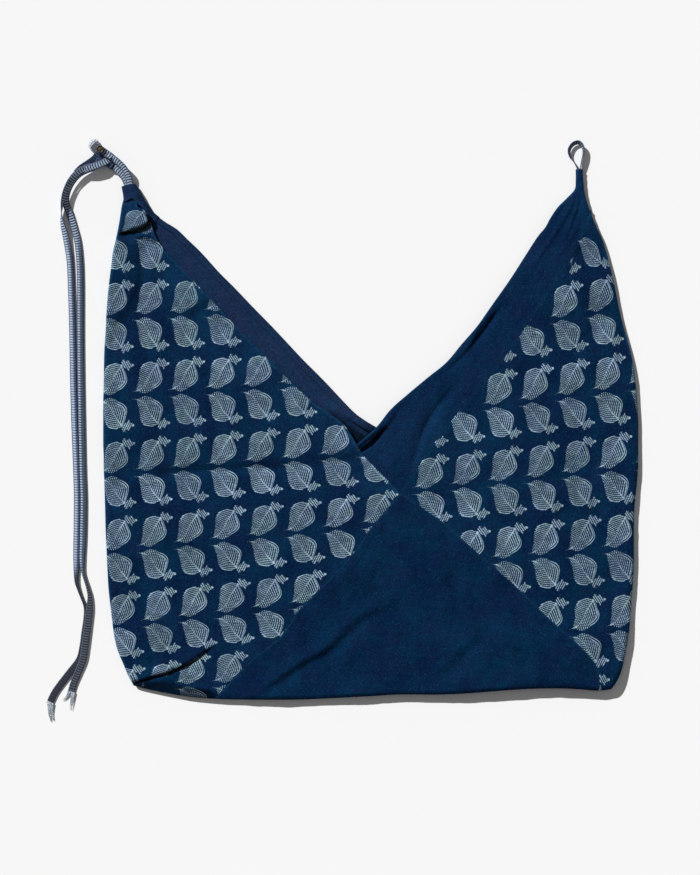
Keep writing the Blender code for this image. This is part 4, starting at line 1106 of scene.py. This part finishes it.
# up the hanging stretch: height above the lower edge of the bag, tent and ridge of the tapes
hangTent = [(118, 0.0, 0.5), (150, 1.5, 0.6), (185, 1.9, 0.72), (310, 1.9, 0.78),
            (372, 1.9, 0.5), (462, 1.9, 0.5), (497, 0.0, 0.5)]
knotBight = [
    (-8.5, 568.8, 4.3, 90), (-12.6, 572.0, 4.6, 78), (-13.9, 577.0, 4.9, 64),
    (-10.8, 580.9, 5.0, 60), (-7.2, 580.4, 4.9, 66), (-6.0, 577.0, 4.6, 78)]
hangingLoop = [
    (494.25, 541.0, 2.9, 90, 0.6), (494.25, 549.0, 3.0, 90, 0.65), (490.2, 558.0, 3.4, 98, 0.9),
    (485.8, 564.5, 3.3, 116, 1.0), (484.6, 571.5, 3.2, 124, 1.0), (488.2, 577.4, 3.0, 130, 1.0),
    (494.0, 579.6, 3.0, 126, 1.0), (498.6, 575.6, 3.3, 108, 1.0), (499.2, 568.6, 3.5, 94, 1.0),
    (497.4, 559.5, 3.4, 90, 0.9), (495.75, 549.0, 3.0, 90, 0.65), (495.75, 541.0, 2.9, 90, 0.6)]
ends = {"threads": 14, "thick": 0.85, "wide": 3.6, "overlap": 2.0,
        "upperTufts": [(-53.5, -24.5)], "lowerTufts": [(-43.0, -2.0), (-35.5, -12.5)],
        "tones": [(0.16, 0.20, 0.28, 1), (0.52, 0.56, 0.60, 1)]}


def evenRoute(route, step):
    fine = smoothLine(route, 24)
    lengths = lengthsAlong(fine[:, :3])
    count = int(round(lengths[-1] / step))
    return sampleAt(fine, lengths, np.linspace(0, lengths[-1], count + 1))


def frayedEnd(points, across, tufts, seed):
    # loose threads that run on from the tape and clump together
    dice = np.random.default_rng(seed)
    ahead = unit(points[-1] - points[-4])
    start = points[-1] - ahead * ends["overlap"]
    outwards = unit(np.cross(ahead, (0, 0, 1.0)))
    sign = 1.0 if np.dot(outwards, across[-1]) > 0 else -1.0
    lines = []
    for i, place in enumerate(np.linspace(-0.46, 0.46, ends["threads"])):
        tuft = tufts[(len(tufts) - 1) * (2 * i < ends["threads"])]
        course = np.array([*tuft, tape["thick"]]) - start
        sideways = unit(np.cross(course, (0, 0, 1.0)))
        share = dice.uniform(0.5, 1.05)
        first = start + across[-1] * tape["wide"] * place * sign
        last = start + course * share + sideways * ends["wide"] * (
            place + dice.uniform(-0.2, 0.2))
        bend = ahead * dice.uniform(3, 6)
        line = []
        for t in np.linspace(0, 1, 7):
            spot = first * (1 - t) + last * t + bend * 2 * t * (1 - t)
            spot[2] = cloth["floorGap"] + dice.uniform(0.0, 0.25) + tape["thick"] * (1 - t)
            line.append(spot)
        lines.append(np.array(line))
    return lines


def strandRings(line):
    ahead = unit(np.gradient(line, axis=0))
    side = unit(np.cross(ahead, (0, 0, 1.0)))
    up = np.cross(side, ahead)
    taper = (1 - 0.55 * np.linspace(0, 1, len(line)))[:, None] * ends["thick"] / 2
    return np.stack([line + side * taper, line + up * taper, line - side * taper,
                     line - up * taper], axis=1)


def strandMaterial():
    material, shader, where = startMaterial("frayedThread", 0.9, 0.15, 0.05)
    share = between(noise(where, 700, 2, 0.6), 0.35, 0.6)
    feed(shader["Base Color"], blendColour(share, *ends["tones"]))
    return material


def makeTie(name, route, nodes, material, strands, tufts, seed):
    samples = evenRoute([spot if len(spot) > 4 else (*spot, 1.0) for spot in route],
                        tape["tieStep"])
    points, rolls, share = samples[:, :3], samples[:, 3], samples[:, 4:5]
    # in the hanging stretch the tape is bent lengthwise, lit on one side of the ridge
    heights, tents, ridges = np.array(hangTent).T
    facing = np.where(rolls > 90, -1.0, 1.0)
    tent = (facing * np.interp(points[:, 1], heights, tents))[:, None]
    ridge = np.interp(points[:, 1], heights, ridges)[:, None]
    # where it is folded lengthwise it is narrow and thick
    thick = tape["thick"] * (1 + 1.1 * (1 - share))
    rings, lengths = ribbonRings(samples, tape["wide"] * share, thick, tent, ridge)
    piece = ringsObject(name, [(rings, lengths)], material, *nodes)
    threads = frayedEnd(points, rollFrames(points, rolls)[0], tufts, seed)
    fray = ringsObject(name + "Fray", [(strandRings(line),) for line in threads], strands)
    print(name, "length", round(float(lengths[-1]), 1), "mm")
    return piece, fray, toFrame(points).tolist(), float(lengths[-1]) * mm


def makeLoop(material):
    samples = evenRoute(hangingLoop, tape["loopStep"])
    rings, lengths = ribbonRings(samples, tape["loopWide"] * samples[:, 4:5], tape["loopThick"])
    piece = ringsObject("hangingLoop", [(rings, lengths)], material, "hanging_loop")
    return piece, toFrame(samples[:, :3]).tolist(), float(lengths[-1]) * mm


# the tapes crossing in the knot, over a small rounded core
knot = {"centre": (-5.0, 560.5, 4.4), "radii": (5.6, 8.2, 3.7), "turn": -10.0}
knotShaded = [
    [(-1.5, 572.5, 6.8, 0), (-4.5, 567.5, 7.4, 8), (-9.5, 561.5, 7.4, 18), (-16, 556.8, 7.3, 22),
     (-22.5, 552.6, 6.9, 26), (-28, 547.6, 5.4, 30)],
    [(0.5, 562.5, 6, 0), (4.5, 558.5, 5.4, 0), (9.5, 554, 4.4, 0)]]
knotLadders = [
    [(5.5, 561.0, 5.4, 0), (1.5, 558.6, 6.8, 0), (-4, 556.0, 8.0, 0), (-10, 553.8, 8.2, 6),
     (-16, 551.6, 7.7, 12), (-21.5, 549.4, 6.0, 16)],
    [(-5.5, 573.5, 6.6, 0), (-1, 570.6, 7.4, 0), (4, 567.2, 7.4, 10), (9.5, 563.6, 7.0, 20)]]


def makeRibbons(name, routes, step, material, *nodes):
    parts = [ribbonRings(evenRoute(route, step), tape["wide"], tape["thick"]) for route in routes]
    return ringsObject(name, parts, material, *nodes)


def makeKnotCore(material):
    deselectAll()
    bpy.ops.mesh.primitive_uv_sphere_add(segments=32, ring_count=20, radius=1.0)
    core = bpy.context.object
    core.name = core.data.name = "knotCore"
    turn = math.radians(knot["turn"])
    for vert in core.data.vertices:
        x, y, z = vert.co
        swell = 0.93 + 0.05 * math.cos(5 * y + 2 * x)
        x, y, z = [value * radius * swell for value, radius in zip((x, y, z), knot["radii"])]
        place = (knot["centre"][0] + x * math.cos(turn) - y * math.sin(turn),
                 knot["centre"][1] + x * math.sin(turn) + y * math.cos(turn),
                 max(0.1, knot["centre"][2] + z))
        vert.co = toFrame(place)[0]
    bpy.ops.object.shade_smooth()
    route = core.data.uv_layers.active
    route.name = "route"
    for item in route.data:
        item.uv = (0.2 + 0.6 * item.uv[0], item.uv[1] * 0.3)
    return fitted(core, material, "woven_tape", "tie_knot")


stud = {"centre": (-2.9, 571.6), "radius": 3.9, "bottom": 8.0, "height": 2.8, "rim": 0.9,
        "dish": 0.7, "button": 1.5, "bevel": 0.35, "dark": (0.010, 0.007, 0.005, 1),
        "pale": (0.055, 0.034, 0.018, 1)}


def makeStud():
    deselectAll()
    place = toFrame((*stud["centre"], stud["bottom"] + stud["height"] / 2))[0]
    bpy.ops.mesh.primitive_cylinder_add(vertices=40, radius=stud["radius"] * mm,
                                        depth=stud["height"] * mm, location=place)
    piece = bpy.context.object
    piece.name = piece.data.name = "stud"
    bpy.ops.object.transform_apply(location=True, rotation=True, scale=True)
    bpy.ops.object.mode_set(mode="EDIT")
    bpy.ops.mesh.select_mode(type="FACE")
    shape = bmesh.from_edit_mesh(piece.data)
    for face in shape.faces:
        face.select = face.normal.z > 0.9
    bmesh.update_edit_mesh(piece.data)
    # a dish inside the rim, then a low button in the dish
    for inset, rise in ((stud["rim"], -stud["dish"]),
                        (stud["radius"] - stud["rim"] - stud["button"], 0.6 * stud["dish"])):
        bpy.ops.mesh.inset(thickness=inset * mm)
        bpy.ops.mesh.extrude_region_move(TRANSFORM_OT_translate={"value": (0, 0, rise * mm)})
    bpy.ops.object.mode_set(mode="OBJECT")
    rim = piece.modifiers.new("roundedRim", "BEVEL")
    rim.width, rim.segments = stud["bevel"] * mm, 3
    bpy.ops.object.modifier_apply(modifier=rim.name)
    bpy.ops.object.shade_smooth_by_angle(angle=math.radians(40))
    material, shader, where = startMaterial("darkHorn", 0.38, 0.5)
    grain = noise(where, 260, 4, 0.6)
    feed(shader["Base Color"],
         blendColour(between(grain, 0.35, 0.65), stud["dark"], stud["pale"]))
    feed(shader["Roughness"], between(grain, 0.3, 0.7, 0.30, 0.50))
    feed(shader["Normal"], bumpOf(noise(where, 900, 2), 0.3, 0.0001))
    return fitted(piece, material, "dark_horn", "stud")


def makeFloor():
    deselectAll()
    bpy.ops.mesh.primitive_plane_add(size=light["floorSize"],
                                     location=(0, 0, -light["floorDrop"]))
    floor = bpy.context.object
    floor.name = "floor"
    material, shader, where = startMaterial("paleFloor", 0.95, 0.0)
    tone = light["floorTone"]
    share = between(noise(where, 3, 2), 0.3, 0.7)
    feed(shader["Base Color"],
         blendColour(share, (tone, tone, tone, 1), (tone * 0.995,) * 3 + (1,)))
    floor.data.materials.append(material)


makeCameraAndLight()
ladderTape = tapeMaterial("ladderTape", tape["bar"], tape["ground"])
# lit and shaded copies of the ladder tape, with painted light for the upper and the lower tie
litBrightTape = tapeMaterial("ladderTapeLitBright", tape["bar"], tape["ground"], 0.1, hanging["litBright"])
shadedSlateTape = tapeMaterial("ladderTapeShadedSlate", tape["bar"], tape["ground"], 0.1, hanging["shadedSlate"])
# a darker copy of the tape for the standing loop: painted shade
shadedLoopTape = tapeMaterial("shadedLoopTape", (0.20, 0.25, 0.33, 1), (0.035, 0.045, 0.075, 1))
shadedTape = tapeMaterial("shadedTape", (0.05, 0.08, 0.17, 1), (0.010, 0.018, 0.050, 1))
paleTape = tapeMaterial("paleTape", tape["pale"], (0.20, 0.25, 0.34, 1), 0.4)
strands = strandMaterial()
upper, upperFray, upperPath, upperLong = makeTie(
    "upperTie", upperTie, ("upper_tie_to_knot", "left_tie_to_end"), litBrightTape, strands,
    ends["upperTufts"], 5)
lower, lowerFray, lowerPath, lowerLong = makeTie(
    "lowerTie", lowerTie, ("lower_tie_to_knot", "right_tie_to_end"), shadedSlateTape, strands,
    ends["lowerTufts"], 9)
loop, loopPath, loopLong = makeLoop(shadedLoopTape)
core = makeKnotCore(shadedTape)
wraps = makeRibbons("knotWraps", knotLadders, tape["knotStep"], ladderTape)
under = makeRibbons("knotUnder", knotShaded, tape["knotStep"], shadedTape)
bight = makeRibbons("knotBight", [knotBight], tape["bightStep"], paleTape, "knot_bight")
button = makeStud()
print("ties, knot and loop made")

plainCloth = plainClothMaterial("plainIndigoCloth", indigo)
bandCloth = plainClothMaterial("bandIndigoCloth", bandIndigo)
reverseCloth = plainClothMaterial("reverseIndigoCloth", reverseIndigo)
printedCloth = printedClothMaterial("printedIndigoCloth", indigo)
leftPanel = makePanel("leftPanel", "left_panel", leftAbove, leftSeam, leftPrint, printedCloth)
rightPanel = makePanel("rightPanel", "right_panel", rightAbove, rightSeam, rightPrint,
                       printedCloth)
basePanel = makeBase(plainCloth)
backBand = makeBackBand(reverseCloth)
frontBand = makeFrontBand(bandCloth)
makeFloor()
print("cloth and floor made")
